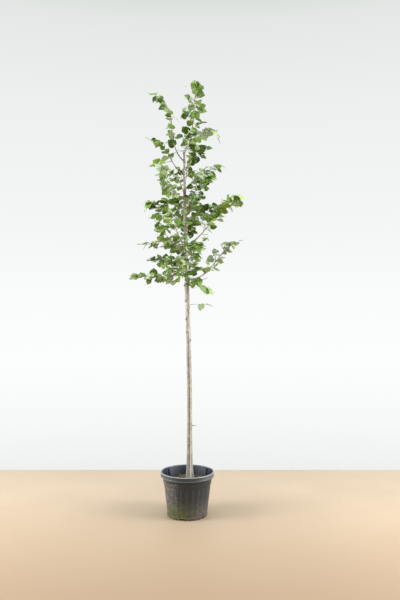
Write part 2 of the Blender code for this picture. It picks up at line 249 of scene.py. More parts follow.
Leaf = namedtuple("Leaf", "foot heel along face size shape")


def smoothstep(share):
    share = min(max(share, 0.0), 1.0)
    return share * share * (3 - 2 * share)


def unit(vector):
    return vector / np.linalg.norm(vector)


def jitter(chance, amount):
    return np.array([chance.gauss(0, amount) for _ in range(3)])


def stem_point(height):
    """The stem's axis: upright, then a slow lean, then the leader's kink round the old cut."""
    lean = LEAN * smoothstep((height - LEAN_FROM) / (LEADER_HEIGHT - LEAN_FROM))
    over = max(height - LEADER_HEIGHT, 0.0)
    kink = LEADER_KINK * smoothstep(over / KINK_RISE) + LEADER_TILT * over
    wander = STEM_WANDER * math.sin(math.tau * (height - SOIL_TOP) / WANDER_PERIOD)
    return np.array((STEM_FOOT_X - lean + kink, wander, height))


def rise_at(rises, share):
    """Rise in degrees along a shoot, on the parabola through its base, middle and tip."""
    base, middle, tip = rises
    at_base = base * (1 - share) * (1 - 2 * share)
    at_middle = middle * 4 * share * (1 - share)
    at_tip = tip * share * (2 * share - 1)
    return math.radians(at_base + at_middle + at_tip)


def direction(heading, rise):
    level = math.cos(rise)
    return np.array((math.cos(heading) * level, math.sin(heading) * level, math.sin(rise)))


def shoot_axis(shoot, axes):
    """Points along a shoot's axis, from its seat to its tip."""
    if shoot.parent:
        start = at_share(axes[shoot.parent], shoot.at)
    else:
        start = stem_point(shoot.at)
    points = [start]
    for index in range(SHOOT_STEPS):
        share = (index + 0.5) / SHOOT_STEPS
        heading = math.radians(shoot.azimuth + shoot.swing * share)
        step = direction(heading, rise_at(shoot.rises, share)) * shoot.length / SHOOT_STEPS
        points.append(points[-1] + step)
    return points


def at_share(points, share):
    place = share * (len(points) - 1)
    low = min(int(place), len(points) - 2)
    return points[low] + (points[low + 1] - points[low]) * (place - low)


def ahead_at(points, share):
    after = at_share(points, min(share + 0.04, 1.0))
    before = at_share(points, max(share - 0.04, 0.0))
    return unit(after - before)


def leaf_at(chance, node, ahead, side, size, droop):
    """A leaf on its stalk, out from its node to one side, with the blade let down from there."""
    across = unit(np.cross(UP, ahead) + NUDGE) * side
    outward = node - stem_point(node[2])
    outward = unit(np.array((outward[0], outward[1], NUDGE_UP)))
    stalk = ahead * STALK_AHEAD + across * STALK_ASIDE + UP * STALK_UP
    stalk = unit(stalk + jitter(chance, LEAF_STRAY))
    heel = node + stalk * size * chance.uniform(*STALK_REACH)
    let_down = UP * chance.uniform(*LEAF_DROOP) * droop
    along = stalk * BLADE_ON + outward * BLADE_OUT - let_down
    along = unit(along + jitter(chance, LEAF_STRAY))
    face = UP * FACE_UP + outward * FACE_OUT + jitter(chance, FACE_STRAY)
    face = unit(face - along * float(face @ along))
    return Leaf(node, heel, along, face, size, chance.randrange(BLADE_SHAPES))


def fits(leaf):
    """Whether a leaf's tip lies within the room that the crown has."""
    tip = leaf.heel + leaf.along * leaf.size
    return bool(np.all(tip > CROWN_LOW) and np.all(tip < CROWN_HIGH))


def side_twig(chance, node, ahead, side, length):
    """A short side twig's points."""
    across = unit(np.cross(UP, ahead) + NUDGE) * side
    sideways = across * chance.uniform(*TWIG_ASIDE)
    heading = ahead * 0.6 + sideways + UP * chance.uniform(*TWIG_LIFT)
    heading = unit(heading + jitter(chance, TWIG_STRAY))
    points = [node]
    for _ in range(TWIG_STEPS):
        heading = unit(heading + jitter(chance, TWIG_WANDER) + UP * 0.02)
        points.append(points[-1] + heading * length / TWIG_STEPS)
    return points


def set_leaves(chance, points, length, start, gap, size, leaves):
    """Leaves one by one along a run of points, on alternate sides, and one at its tip."""
    count = max(int(round(length * (1 - start) / gap)), 1)
    side = chance.choice((-1, 1))
    for index in range(count):
        place = (index + FIRST_GAP) / (count + FIRST_GAP)
        share = start + (1 - start) * place**CROWDING
        grown = size * chance.uniform(*LEAF_SPREAD) * (BASE_SIZE - SIZE_LOSS * share)
        node, ahead = at_share(points, share), ahead_at(points, share)
        leaves.append(leaf_at(chance, node, ahead, side, grown, 1.0))
        side = -side
    ahead = ahead_at(points, 1.0)
    leaves.append(leaf_at(chance, points[-1], ahead, side * 0.3, size * END_LEAF, 0.6))


def grow_shoot(shoot, points, seed):
    """One shoot's twigs and leaves."""
    chance = random.Random(seed)
    twigs, leaves = [], []
    set_leaves(chance, points, shoot.length, shoot.bare, NODE_GAP, shoot.leaf, leaves)
    side = chance.choice((-1, 1))
    for index in range(shoot.twigs):
        part = (index + chance.uniform(*TWIG_PLACE)) / shoot.twigs
        share = shoot.bare + (LAST_TWIG - shoot.bare) * part
        length = shoot.reach * chance.uniform(*TWIG_SPREAD) * (1.2 - 0.6 * share)
        twig = side_twig(chance, at_share(points, share), ahead_at(points, share), side, length)
        twigs.append(twig)
        set_leaves(chance, twig, length, TWIG_BARE, TWIG_GAP, shoot.leaf * TWIG_LEAF, leaves)
        side = -side
    return twigs, [leaf for leaf in leaves if fits(leaf)]


def grow_leader(leader, seed):
    """The leader's spurs and leaves, which turn round it as they climb."""
    chance = random.Random(seed)
    twigs, leaves = [], []
    count = int((leader.high - leader.low) / leader.gap)
    turn = chance.uniform(0, 360)
    for index in range(count):
        share = index / (count - 1)
        node = stem_point(leader.low + (leader.high - leader.low) * share)
        turn += GOLDEN_TURN
        heading = direction(math.radians(turn), math.radians(chance.uniform(*SPUR_RISE)))
        if index % 2 == 0:
            length = chance.uniform(*SPUR_REACH) * (1 - 0.35 * share)
            twig = [node + heading * length * step / 3 for step in range(4)]
            twigs.append(twig)
            set_leaves(chance, twig, length, SPUR_BARE, SPUR_GAP, SPUR_LEAF, leaves)
        else:
            size = SINGLE_LEAF * chance.uniform(*SINGLE_SPREAD)
            leaves.append(leaf_at(chance, node, unit(heading + UP * 0.3), 1, size, 1.0))
    for _ in range(TOP_LEAVES):
        turn += GOLDEN_TURN
        heading = direction(math.radians(turn), math.radians(chance.uniform(*TOP_RISE)))
        leaves.append(leaf_at(chance, stem_point(leader.high), heading, 1, TOP_LEAF, 0.8))
    return twigs, [leaf for leaf in leaves if fits(leaf)]


def shoot_axes():
    """Each shoot's axis. A shoot comes after its parent in SHOOTS."""
    axes = {}
    for name, shoot in SHOOTS.items():
        axes[name] = shoot_axis(shoot, axes)
    return axes


# ---- modelling by hand ----

# An edge that climbs less than this is level, and corners nearer than this are made one.
LEVEL = 1e-6
WELD = 0.00002


def named(name):
    """The piece just added, given its name."""
    piece = bpy.context.object
    piece.name = name
    piece.data.name = name
    return piece


def edit_mode():
    bpy.ops.object.mode_set(mode="EDIT")


def object_mode():
    bpy.ops.object.mode_set(mode="OBJECT")


def work_on(piece):
    """Makes a piece the only one selected."""
    bpy.ops.object.select_all(action="DESELECT")
    piece.select_set(True)
    bpy.context.view_layer.objects.active = piece


def in_place(piece):
    """Puts a piece's place, turn and scale in its mesh."""
    work_on(piece)
    bpy.ops.object.transform_apply(location=True, rotation=True, scale=True)
    return piece


def values_of(items, key, width=3, kind=float):
    """A value or vector of each corner, edge or face, as rows of an array."""
    values = np.empty(len(items) * width, kind)
    items.foreach_get(key, values)
    return values.reshape(-1, width)


def corners(mesh):
    """A mesh's corners as rows of an array."""
    return values_of(mesh.vertices, "co")


def set_corners(mesh, places):
    mesh.vertices.foreach_set("co", np.ascontiguousarray(places, dtype=np.float32).ravel())
    mesh.update()


def edge_climbs(mesh):
    """How far each edge climbs from one end to the other."""
    heights = corners(mesh)[values_of(mesh.edges, "vertices", 2, int), 2]
    return np.abs(heights[:, 0] - heights[:, 1])


def pick(piece, kind, chosen):
    """Opens a piece in edit mode with only those FACEs or EDGEs selected that a mask names."""
    work_on(piece)
    edit_mode()
    bpy.ops.mesh.select_mode(type=kind)
    bpy.ops.mesh.select_all(action="DESELECT")
    object_mode()
    items = piece.data.polygons if kind == "FACE" else piece.data.edges
    items.foreach_set("select", chosen)
    edit_mode()


def round_edges(piece, rounding):
    work_on(piece)
    edit_mode()
    bpy.ops.mesh.select_all(action="SELECT")
    bpy.ops.mesh.bevel(offset=rounding, segments=3)
    object_mode()


def apply_modifier(piece, kind, **settings):
    work_on(piece)
    modifier = piece.modifiers.new(kind.lower(), kind)
    for key, value in settings.items():
        setattr(modifier, key, value)
    bpy.ops.object.modifier_apply(modifier=modifier.name)


def smooth(piece, degrees=40):
    work_on(piece)
    bpy.ops.object.shade_smooth_by_angle(angle=math.radians(degrees))
    return piece


def join(pieces, name):
    bpy.ops.object.select_all(action="DESELECT")
    for piece in pieces:
        piece.select_set(True)
    bpy.context.view_layer.objects.active = pieces[0]
    bpy.ops.object.join()
    return named(name)


def turn_up(name, profile, sides):
    """A turned shell: a circle raised ring by ring along a profile of (radius, height)."""
    radius, height = profile[0]
    bpy.ops.object.select_all(action="DESELECT")
    bpy.ops.mesh.primitive_circle_add(vertices=sides, radius=radius, location=(0, 0, height))
    piece = named(name)
    edit_mode()
    bpy.ops.mesh.select_all(action="SELECT")
    for next_radius, next_height in profile[1:]:
        move = {"value": (0, 0, next_height - height)}
        bpy.ops.mesh.extrude_region_move(TRANSFORM_OT_translate=move)
        grow = next_radius / radius
        bpy.ops.transform.resize(value=(grow, grow, 1), center_override=(0, 0, next_height))
        radius, height = next_radius, next_height
    close_ends()
    bpy.ops.mesh.select_all(action="SELECT")
    bpy.ops.mesh.normals_make_consistent(inside=False)
    object_mode()
    return in_place(piece)


def close_ends():
    """Fills a shell's open rings, each with a fan round its middle."""
    bpy.ops.mesh.select_mode(type="EDGE")
    bpy.ops.mesh.select_all(action="DESELECT")
    bpy.ops.mesh.select_non_manifold()
    bpy.ops.mesh.fill_holes(sides=0)
    bpy.ops.mesh.select_mode(type="FACE")
    bpy.ops.mesh.select_all(action="DESELECT")
    bpy.ops.mesh.select_face_by_sides(number=4, type="GREATER")
    bpy.ops.mesh.poke()


def arc(middle, radius, start, end, steps):
    """Profile points round an arc, its angles in degrees from outwards."""
    points = []
    for index in range(steps + 1):
        turn = math.radians(start + (end - start) * index / steps)
        points.append((middle[0] + radius * math.cos(turn), middle[1] + radius * math.sin(turn)))
    return points


def discard(models):
    for model in models:
        bpy.data.objects.remove(model, do_unlink=True)


def finish_piece(piece, looks, nodes=()):
    """Gives a piece its materials, its body and the solids that it stands for."""
    piece.data.materials.clear()
    for look in looks:
        piece.data.materials.append(look)
    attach(piece, "root")
    if nodes:
        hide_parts(*nodes)
    return piece


# ---- materials ----


def paint(red, green, blue):
    """A colour off a chart, 0 to 255, as the linear numbers that a shader takes."""
    linear = []
    for level in (red, green, blue):
        share = level / 255
        linear.append(share / 12.92 if share < 0.04045 else ((share + 0.055) / 1.055) ** 2.4)
    return (*linear, 1.0)


def put(tree, socket, value):
    """Links a socket to another's output, or sets its value."""
    if isinstance(value, bpy.types.NodeSocket):
        tree.links.new(value, socket)
    else:
        socket.default_value = value


def add_node(tree, kind, inputs=(), **settings):
    made = tree.nodes.new("ShaderNode" + kind)
    for key, value in settings.items():
        setattr(made, key, value)
    for socket, value in dict(inputs).items():
        put(tree, made.inputs[socket], value)
    return made


class Recipe:
    """A material's nodes, added one by one. Coordinates are the piece's own."""

    def __init__(self, name):
        self.material = bpy.data.materials.new(name)
        self.material.use_nodes = True
        self.tree = self.material.node_tree
        self.shader = self.tree.nodes["Principled BSDF"]
        self.place = self.add("TexCoord").outputs["Object"]
        self.colour = None

    def add(self, kind, inputs=(), **settings):
        return add_node(self.tree, kind, inputs, **settings)

    def noise(self, scale=(1, 1, 1), size=1.0, detail=4.0, rough=0.55, offset=(0, 0, 0)):
        """Cloudy noise, finer along an axis the more its scale."""
        stretched = self.add("Mapping", {"Vector": self.place, "Scale": scale, "Location": offset})
        inputs = {
            "Vector": stretched.outputs["Vector"],
            "Scale": size,
            "Detail": detail,
            "Roughness": rough,
        }
        return self.add("TexNoise", inputs).outputs["Fac"]

    def part(self, axis):
        return self.add("SeparateXYZ", {"Vector": self.place}).outputs[axis]

    def maths(self, operation, first, second=0.0, clamp=False):
        inputs = {0: first, 1: second}
        return self.add("Math", inputs, operation=operation, use_clamp=clamp).outputs[0]

    def plus(self, first, second):
        return self.maths("ADD", first, second)

    def times(self, first, *others):
        for other in others:
            first = self.maths("MULTIPLY", first, other)
        return first

    def reach(self):
        """Distance from the piece's upright axis."""
        across, depth = self.part("X"), self.part("Y")
        return self.maths("SQRT", self.plus(self.times(across, across), self.times(depth, depth)))

    def span(self, value, low, high, start=0.0, end=1.0):
        """Value's way from low to high, smoothed, as a share from start to end."""
        inputs = {"Value": value, "From Min": low, "From Max": high, "To Min": start, "To Max": end}
        made = self.add("MapRange", inputs, interpolation_type="SMOOTHSTEP")
        return made.outputs["Result"]

    def band(self, value, low, full, last, high):
        """1 from full to last, fading to 0 at low and at high."""
        return self.times(self.span(value, low, full), self.span(value, high, last))

    def near(self, place, reach):
        """1 at a place on the piece, fading to 0 at a reach from it."""
        apart = self.add("VectorMath", {0: self.place, 1: place}, operation="DISTANCE")
        return self.span(apart.outputs["Value"], 0.0, reach, 1.0, 0.0)

    def blend(self, share, first, second, how="MIX"):
        made = self.add("Mix", data_type="RGBA", blend_type=how)
        for name, value in (("Factor_Float", share), ("A_Color", first), ("B_Color", second)):
            put(self.tree, next(socket for socket in made.inputs if socket.identifier == name), value)
        return next(out for out in made.outputs if out.identifier == "Result_Color")

    def mingle(self, share, first, second):
        """Starts the colour off as one tone passing into another."""
        self.colour = self.blend(share, paint(*first), paint(*second))

    def coat(self, share, tone, how="MIX"):
        """Lays a tone over the colour so far."""
        self.colour = self.blend(share, self.colour, paint(*tone), how)

    def finish(self, rough, height=None, depth=0.001, strength=0.5, **settings):
        """Sends the colour, roughness and relief to the shader, and gives the material back."""
        put(self.tree, self.shader.inputs["Base Color"], self.colour)
        put(self.tree, self.shader.inputs["Roughness"], rough)
        if height is not None:
            inputs = {"Height": height, "Distance": depth, "Strength": strength}
            put(self.tree, self.shader.inputs["Normal"], self.add("Bump", inputs).outputs["Normal"])
        for socket, value in settings.items():
            self.shader.inputs[socket.replace("_", " ")].default_value = value
        return self.material


# Heights on the pot between which its dust, damp and splashes come in.
DUSTY_ABOVE = (0.03, 0.11)
DAMP_BELOW = (0.165, 0.02)
SPLASHED_BELOW = (0.20, 0.05)


def from_level(level, *steps):
    return [level + step for step in steps]


def wall_dust(mix, cloud, grain, spot):
    """Dust's share on the pot: streaks, grains and spots, thick on the left, thin at rim and foot."""
    streak = mix.noise((90, 90, 16), detail=7, rough=0.7)
    dust = mix.plus(mix.span(streak, 0.46, 0.66, 0.0, 0.40), mix.span(grain, 0.44, 0.60, 0.0, 0.30))
    dust = mix.plus(dust, mix.span(spot, 0.48, 0.60, 0.0, 0.42))
    dust = mix.times(dust, mix.span(cloud, 0.28, 0.60, 0.40, 1.1))
    dust = mix.times(dust, mix.span(mix.part("X"), -0.04, -0.165, 0.05, 1.15))
    dust = mix.times(dust, mix.plus(mix.times(below_rim(mix), 0.88), 0.12))
    return mix.times(dust, mix.span(mix.part("Z"), *DUSTY_ABOVE, 0.45, 1.0))


def below_rim(mix):
    """1 on the pot's wall, 0 on its rim."""
    return mix.span(mix.part("Z"), *from_level(NECK_HEIGHT, 0.011, 0.001))


def paint_rim_sheen_and_highlights(mix, cloud):
    """A painted sheen on the rim's sides, and painted highlights on its lip and lower edge."""
    across, up = mix.part("X"), mix.part("Z")
    # Painted sheen: paler grey on the rim's left and right sides as seen from the front, stronger to the
    # right.
    side = mix.span(mix.maths("ABSOLUTE", across), 0.06, 0.17, 0.28, 1.0)
    side = mix.times(side, mix.span(across, -0.15, 0.05, 0.22, 0.42))
    film = mix.times(mix.maths("SUBTRACT", 1.0, below_rim(mix)), side)
    mix.coat(film, (126, 130, 136))
    # Painted highlight: patchy paler grey along the top of the lip.
    lip = mix.span(up, *from_level(POT_HEIGHT, -0.008, -0.0005))
    lip = mix.times(lip, mix.span(cloud, 0.28, 0.55, 0.45, 1.0))
    mix.coat(mix.times(lip, 0.60), (170, 174, 180))
    # Painted highlight: a thin paler line along the rim's lower edge.
    edge_highlight = mix.band(up, *from_level(NECK_HEIGHT, -0.0005, 0.0015, 0.0055, 0.0095))
    edge_highlight = mix.times(edge_highlight, mix.span(mix.reach(), *from_level(RIM_RADIUS, -0.010, -0.006)))
    mix.coat(mix.times(edge_highlight, 0.30), (130, 134, 138))


def shade_mouldings(mix):
    """Painted shadow under the rim and under the collar's step, and painted shade in the drain notches."""
    up = mix.part("Z")
    # Painted shadow under the rim.
    under = mix.band(up, *from_level(NECK_HEIGHT, -0.028, -0.010, -0.001, 0.002))
    mix.coat(mix.times(under, 0.62), (18, 21, 25))
    # Painted shadow in the step at the collar's foot.
    groove = mix.band(up, *from_level(COLLAR_FOOT, -0.003, -0.001, 0.0025, 0.0045))
    mix.coat(mix.times(groove, 0.55), (16, 18, 20))
    # Painted shade: near black inside the drain notches.
    notch = mix.span(mix.reach(), *from_level(FOOT_RADIUS, -0.0013, -0.0023))
    notch = mix.times(notch, mix.span(up, *from_level(DRAIN_HEIGHT, 0.008, 0.004)))
    mix.coat(notch, (10, 10, 10))


def black_plastic():
    """Moulded black plastic: dusty in streaks, green with algae low on the left, with painted sheen and
    highlights on the rim and rib crests, and painted shade under the rim and in the notches.
    """
    mix = Recipe("black_plastic")
    across, up = mix.part("X"), mix.part("Z")
    cloud = mix.noise(size=16, detail=5)
    speck = mix.noise(size=260, detail=3)
    grain = mix.noise(size=170, detail=4, rough=0.7)
    spot = mix.noise(size=75, detail=5, rough=0.7)
    dust = wall_dust(mix, cloud, grain, spot)
    mix.mingle(mix.times(dust, 0.85), (28, 35, 44), (170, 167, 158))
    low = mix.times(mix.span(up, *DAMP_BELOW), mix.span(spot, 0.37, 0.54))
    algae = mix.times(low, mix.span(across, 0.10, -0.04), mix.span(speck, 0.25, 0.55, 0.6, 1.0))
    green = mix.blend(mix.span(cloud, 0.40, 0.60), paint(104, 98, 34), paint(82, 92, 18))
    mix.colour = mix.blend(mix.times(algae, 0.85), mix.colour, green)
    fleck = mix.times(mix.span(grain, 0.58, 0.68), mix.span(up, *SPLASHED_BELOW, 0.12, 0.32))
    mix.coat(fleck, (172, 168, 154))
    # Painted highlight: a slightly paler tone on each rib's crest, where the light would catch the relief.
    turn = mix.maths("ARCTAN2", mix.part("Y"), across)
    rib_crest_highlight = mix.span(mix.maths("COSINE", mix.times(turn, RIBS)), 0.35, 0.85)
    rib_crest_highlight = mix.times(rib_crest_highlight, mix.span(up, *from_level(COLLAR_FOOT, -0.004, -0.009)))
    mix.coat(mix.times(rib_crest_highlight, 0.07), (150, 150, 148))
    mud = mix.times(low, mix.span(across, -0.05, 0.10))
    mix.coat(mix.times(mud, 0.40), (132, 121, 106))
    paint_rim_sheen_and_highlights(mix, cloud)
    shade_mouldings(mix)
    rough = mix.span(mix.maths("ADD", dust, algae, clamp=True), 0.0, 1.0, 0.42, 0.85)
    height = mix.plus(mix.times(speck, 0.5), mix.times(algae, 0.8))
    return mix.finish(rough, height, 0.0006, 0.5)


def inner_plastic():
    """The same plastic inside the pot, cleaner and bluer, with a film of dust running down."""
    mix = Recipe("inner_plastic")
    streak = mix.noise((40, 40, 5), detail=5)
    speck = mix.noise(size=260, detail=3)
    film = mix.times(mix.span(streak, 0.45, 0.75), 0.34)
    mix.mingle(film, (24, 31, 42), (96, 110, 132))
    return mix.finish(0.60, speck, 0.0006, 0.4)


def compost():
    """Crumbly dark compost, mossy in patches, with painted shade turning it black towards the pot's floor."""
    mix = Recipe("moist_compost")
    crumb = mix.noise(size=180, detail=6, rough=0.7)
    patch = mix.noise(size=22, detail=4)
    mix.mingle(mix.span(crumb, 0.35, 0.70), (38, 33, 28), (90, 78, 64))
    mix.coat(mix.span(patch, 0.52, 0.70, 0.0, 0.55), (92, 90, 52))
    # Painted shade: near black low in the pot, where the compost shows through the drain notches.
    mix.coat(mix.span(mix.part("Z"), 0.20, 0.10, 0.0, 0.95), (14, 12, 10))
    return mix.finish(0.92, crumb, 0.003, 0.9)


def speckled(name, dark, light, size, rough=0.9):
    """A plain natural material whose colour runs between two tones in specks."""
    mix = Recipe(name)
    grain = mix.noise(size=size, detail=4)
    mix.mingle(mix.span(grain, 0.35, 0.65), dark, light)
    return mix.finish(rough, grain, 0.0006, 0.6)


# Heights on the stem between which its bark's colour, painted shade and painted highlights change,
# the unchanged one first. The red ring comes in between its first two, and goes between its last two.
# The front run and the darkening low down are painted shade; the flanks are painted highlights.
FRONT_SHADE_BELOW = (1.60, 0.85)
SHADE_BELOW = (1.50, 1.15)
FLANK_BELOW = (1.50, 1.35)
OLIVE_BELOW = (1.20, 0.50)
FLANK_ABOVE = (2.40, 2.48)
RED_RING = (2.25, 2.33, 2.39, 2.45)
YOUNG_ABOVE = (2.68, 2.80)


def lay_tones(mix, streak, broad, blotch):
    """Pale grey-beige in upright streaks, with broad darker runs and blotches both ways."""
    mix.mingle(mix.span(streak, 0.35, 0.68), (163, 157, 147), (213, 209, 201))
    mix.coat(mix.span(broad, 0.50, 0.68, 0.0, 0.60), (122, 115, 105))
    mix.coat(mix.span(blotch, 0.52, 0.66, 0.0, 0.50), (126, 118, 106))
    mix.coat(mix.span(blotch, 0.44, 0.34, 0.0, 0.55), (228, 225, 218))


def from_axis(mix, broad):
    """How far right of the stem's leaning axis a place is, wandering a little."""
    lean = mix.span(mix.part("Z"), LEAN_FROM, LEADER_HEIGHT, STEM_FOOT_X, STEM_FOOT_X - LEAN)
    bend = mix.times(mix.maths("SUBTRACT", broad, 0.5), 0.012)
    return mix.maths("SUBTRACT", mix.plus(mix.part("X"), bend), lean)


def paint_stem_shade_and_highlight(mix, streak, broad, blotch):
    """Painted shade on the lower stem and in a dark run up its front, and a painted highlight of paler bark
    to the right of the axis.
    """
    up = mix.part("Z")
    aside = from_axis(mix, broad)
    # A strip down the stem's front, for the painted shade.
    front_shade = mix.span(mix.part("Y"), 0.0, -0.010)
    front_shade = mix.times(front_shade, mix.span(mix.maths("ABSOLUTE", aside), 0.0085, 0.0015))
    # Painted shade: the stem darkened low down.
    mix.coat(mix.span(up, *SHADE_BELOW), (214, 212, 208), "MULTIPLY")
    # Painted shade: a dark run up the stem's front, broken by the streak and blotch noise.
    run = mix.times(front_shade, mix.span(up, *FRONT_SHADE_BELOW, 0.15, 1.0))
    run = mix.times(run, mix.span(streak, 0.28, 0.52, 0.45, 0.90))
    run = mix.times(run, mix.span(blotch, 0.40, 0.56, 0.35, 1.0))
    mix.coat(run, (112, 104, 92))
    # Painted highlight: paler bark on the right flank, low on the stem.
    flank_highlight = mix.band(aside, 0.0030, 0.0075, 0.0090, 0.0145)
    flank_highlight = mix.times(flank_highlight, mix.span(up, *FLANK_BELOW, 0.0, 0.45))
    mix.coat(flank_highlight, (234, 229, 221))


def stem_bark():
    """Smooth young bark, pale grey-beige in upright streaks, olive low down and dark at scars, with painted
    shade down its front and painted highlights on its right flank.
    """
    mix = Recipe("stem_bark")
    up = mix.part("Z")
    streak = mix.noise((150, 150, 7), detail=6, rough=0.6)
    broad = mix.noise((38, 38, 2.2), detail=4)
    patch = mix.noise((30, 30, 12), detail=5, rough=0.65, offset=(3, 1, 0))
    pore = mix.noise((230, 230, 620), detail=2, offset=(0, 5, 2))
    blotch = mix.noise((60, 60, 34), detail=5, rough=0.7, offset=(0, 2, 7))
    lay_tones(mix, streak, broad, blotch)
    paint_stem_shade_and_highlight(mix, streak, broad, blotch)
    olive = mix.times(mix.span(up, *OLIVE_BELOW, 0.0, 0.45), mix.span(patch, 0.46, 0.70))
    mix.coat(olive, (118, 116, 66))
    # Painted highlight: paler bark to the right of the axis, high in the crown.
    flank_highlight = mix.span(from_axis(mix, broad), -0.0010, 0.0040)
    flank_highlight = mix.times(flank_highlight, mix.span(up, *FLANK_ABOVE, 0.0, 0.75))
    mix.coat(flank_highlight, (236, 232, 222))
    red = mix.band(up, *RED_RING)
    mix.coat(mix.times(red, 0.65), (96, 58, 44))
    young = mix.span(up, *YOUNG_ABOVE, 0.0, 0.7)
    mix.coat(young, (168, 146, 118))
    pores = mix.times(mix.span(pore, 0.66, 0.74), 0.55)
    mix.coat(pores, (98, 78, 60))
    scars = None
    for height, turn, size in KNOTS:
        spot = mix.near(tuple(on_stem(height, turn)), size * 1.9)
        scars = spot if scars is None else mix.maths("MAXIMUM", scars, spot)
    mix.coat(mix.times(scars, 0.85), (60, 48, 38))
    height = mix.plus(streak, mix.times(pores, 0.9))
    rough = mix.span(streak, 0.3, 0.7, 0.90, 0.72)
    return mix.finish(rough, height, 0.0012, 0.55, Specular_IOR_Level=0.12)


def limb_bark():
    """Shoots' bark: pinkish brown, greyer in streaks, with pale pores."""
    mix = Recipe("limb_bark")
    streak = mix.noise((90, 90, 90), detail=5)
    pore = mix.noise(size=420, detail=2)
    mix.mingle(mix.span(streak, 0.36, 0.64), (118, 96, 80), (166, 146, 126))
    mix.coat(mix.span(pore, 0.66, 0.72, 0.0, 0.5), (196, 180, 156))
    return mix.finish(0.62, streak, 0.0006, 0.4)


def cut_wood():
    """The weathered, callused wood of a healed cut."""
    mix = Recipe("cut_wood")
    ring = mix.noise((260, 260, 60), detail=4)
    mix.mingle(mix.span(ring, 0.35, 0.65), (150, 130, 104), (214, 200, 174))
    return mix.finish(0.85, ring, 0.0008, 0.6)


def leaf_face(name, tone, vein, rough):
    """A blade's surface: a plain tone, its veins a little lighter along the blade's own map."""
    mix = Recipe(name)
    chart = mix.add("UVMap").outputs["UV"]
    split = mix.add("SeparateXYZ", {"Vector": chart})
    aside = mix.maths("ABSOLUTE", mix.maths("SUBTRACT", split.outputs["X"], 0.5))
    along = split.outputs["Y"]
    midrib = mix.span(aside, 0.030, 0.006)
    fan = mix.maths("SUBTRACT", along, mix.times(aside, 0.75))
    wave = mix.maths("SINE", mix.times(fan, 46.0))
    veins = mix.maths("MAXIMUM", midrib, mix.span(wave, 0.80, 0.98, 0.0, 0.7))
    cloud = mix.noise(size=26, detail=3)
    dark, light = deeper(paint(*tone), 0.86), deeper(paint(*tone), 1.12)
    mix.colour = mix.blend(mix.span(cloud, 0.30, 0.70), dark, light)
    mix.coat(mix.times(veins, 0.45), vein)
    return mix.finish(rough, mix.maths("SUBTRACT", 1.0, veins), 0.0008, 0.35)


def deeper(colour, share):
    return (*[level * share for level in colour[:3]], 1.0)


# ---- pot ----


def wall_radius(height):
    """Outer radius of the pot's conical wall."""
    return FOOT_RADIUS + (NECK_RADIUS - FOOT_RADIUS) * height / NECK_HEIGHT


def pot_profile():
    """Up the outer wall from the foot, over the lip, and down the inner wall to the floor."""
    panel_foot, panel_top = 0.025, COLLAR_FOOT - 0.006
    foot = arc((FOOT_RADIUS - FOOT_ROUND, FOOT_ROUND), FOOT_ROUND, -90, 0, 4)
    foot_band = [(wall_radius(0.016), 0.016), (wall_radius(0.019) - PANEL_STEP, 0.0185)]
    panels = [
        (wall_radius(panel_foot) - PANEL_STEP, panel_foot),
        (wall_radius(panel_top) - PANEL_STEP, panel_top),
    ]
    collar = [
        (wall_radius(COLLAR_FOOT) - PANEL_STEP + 0.0006, COLLAR_FOOT - 0.003),
        (wall_radius(COLLAR_FOOT), COLLAR_FOOT + 0.0015),
        (wall_radius(NECK_HEIGHT - 0.006) + 0.0002, NECK_HEIGHT - 0.006),
    ]
    under = arc((NECK_RADIUS + 0.0055, NECK_HEIGHT - 0.004), 0.0045, 180, 90, 4)
    band = [
        (RIM_RADIUS - 0.0035, NECK_HEIGHT + 0.0006),
        (RIM_RADIUS - 0.0020, NECK_HEIGHT + 0.0022),
        (RIM_RADIUS - 0.0020, NECK_HEIGHT + 0.0050),
        (RIM_RADIUS - 0.0032, NECK_HEIGHT + 0.0075),
        (RIM_RADIUS - 0.0020, POT_HEIGHT - 0.0100),
    ]
    lip = arc((RIM_RADIUS - LIP_ROUND, POT_HEIGHT - LIP_ROUND), LIP_ROUND, -10, 170, 10)
    inside = [
        (RIM_RADIUS - 0.0118, POT_HEIGHT - 0.0090),
        (NECK_RADIUS + 0.0030, POT_HEIGHT - 0.0130),
        (NECK_RADIUS + 0.0005, NECK_HEIGHT + 0.0140),
        (NECK_RADIUS - WALL, NECK_HEIGHT),
        (wall_radius(0.15) - WALL, 0.15),
        (wall_radius(FLOOR) - WALL, FLOOR),
    ]
    return foot + foot_band + panels + collar + under + band + lip + inside


def raise_ribs(pot):
    """Thin upright ribs between the panels, a few facets wide."""
    middles = values_of(pot.data.polygons, "center")
    across, depth, up = middles.T
    outer = np.hypot(across, depth) > wall_radius(up) - WALL * 0.9
    on_panel = (up > RIB_STOP) & (up < COLLAR_FOOT - RIB_STOP)
    turn = np.degrees(np.arctan2(depth, across)) % (360 / RIBS)
    pick(pot, "FACE", outer & on_panel & (turn < RIB_FACETS * 360 / POT_SIDES))
    bpy.ops.mesh.inset(thickness=RIB_SLOPE, depth=RIB_RISE)
    object_mode()


def cut_drains(pot):
    """Low slots through the corner where the wall meets the floor."""
    slots = []
    size = (DRAIN_REACH, DRAIN_WIDTH, 2 * DRAIN_HEIGHT)
    for index in range(DRAINS):
        turn = DRAIN_TURN + index * math.tau / DRAINS
        place = (FOOT_RADIUS * math.cos(turn), FOOT_RADIUS * math.sin(turn), 0)
        bpy.ops.object.select_all(action="DESELECT")
        bpy.ops.mesh.primitive_cube_add(size=1, location=place, rotation=(0, 0, turn), scale=size)
        slots.append(in_place(named(f"drain_{index}")))
    cutter = join(slots, "drains")
    round_edges(cutter, DRAIN_ROUND)
    apply_modifier(pot, "BOOLEAN", object=cutter, operation="DIFFERENCE", solver="EXACT")
    discard([cutter])


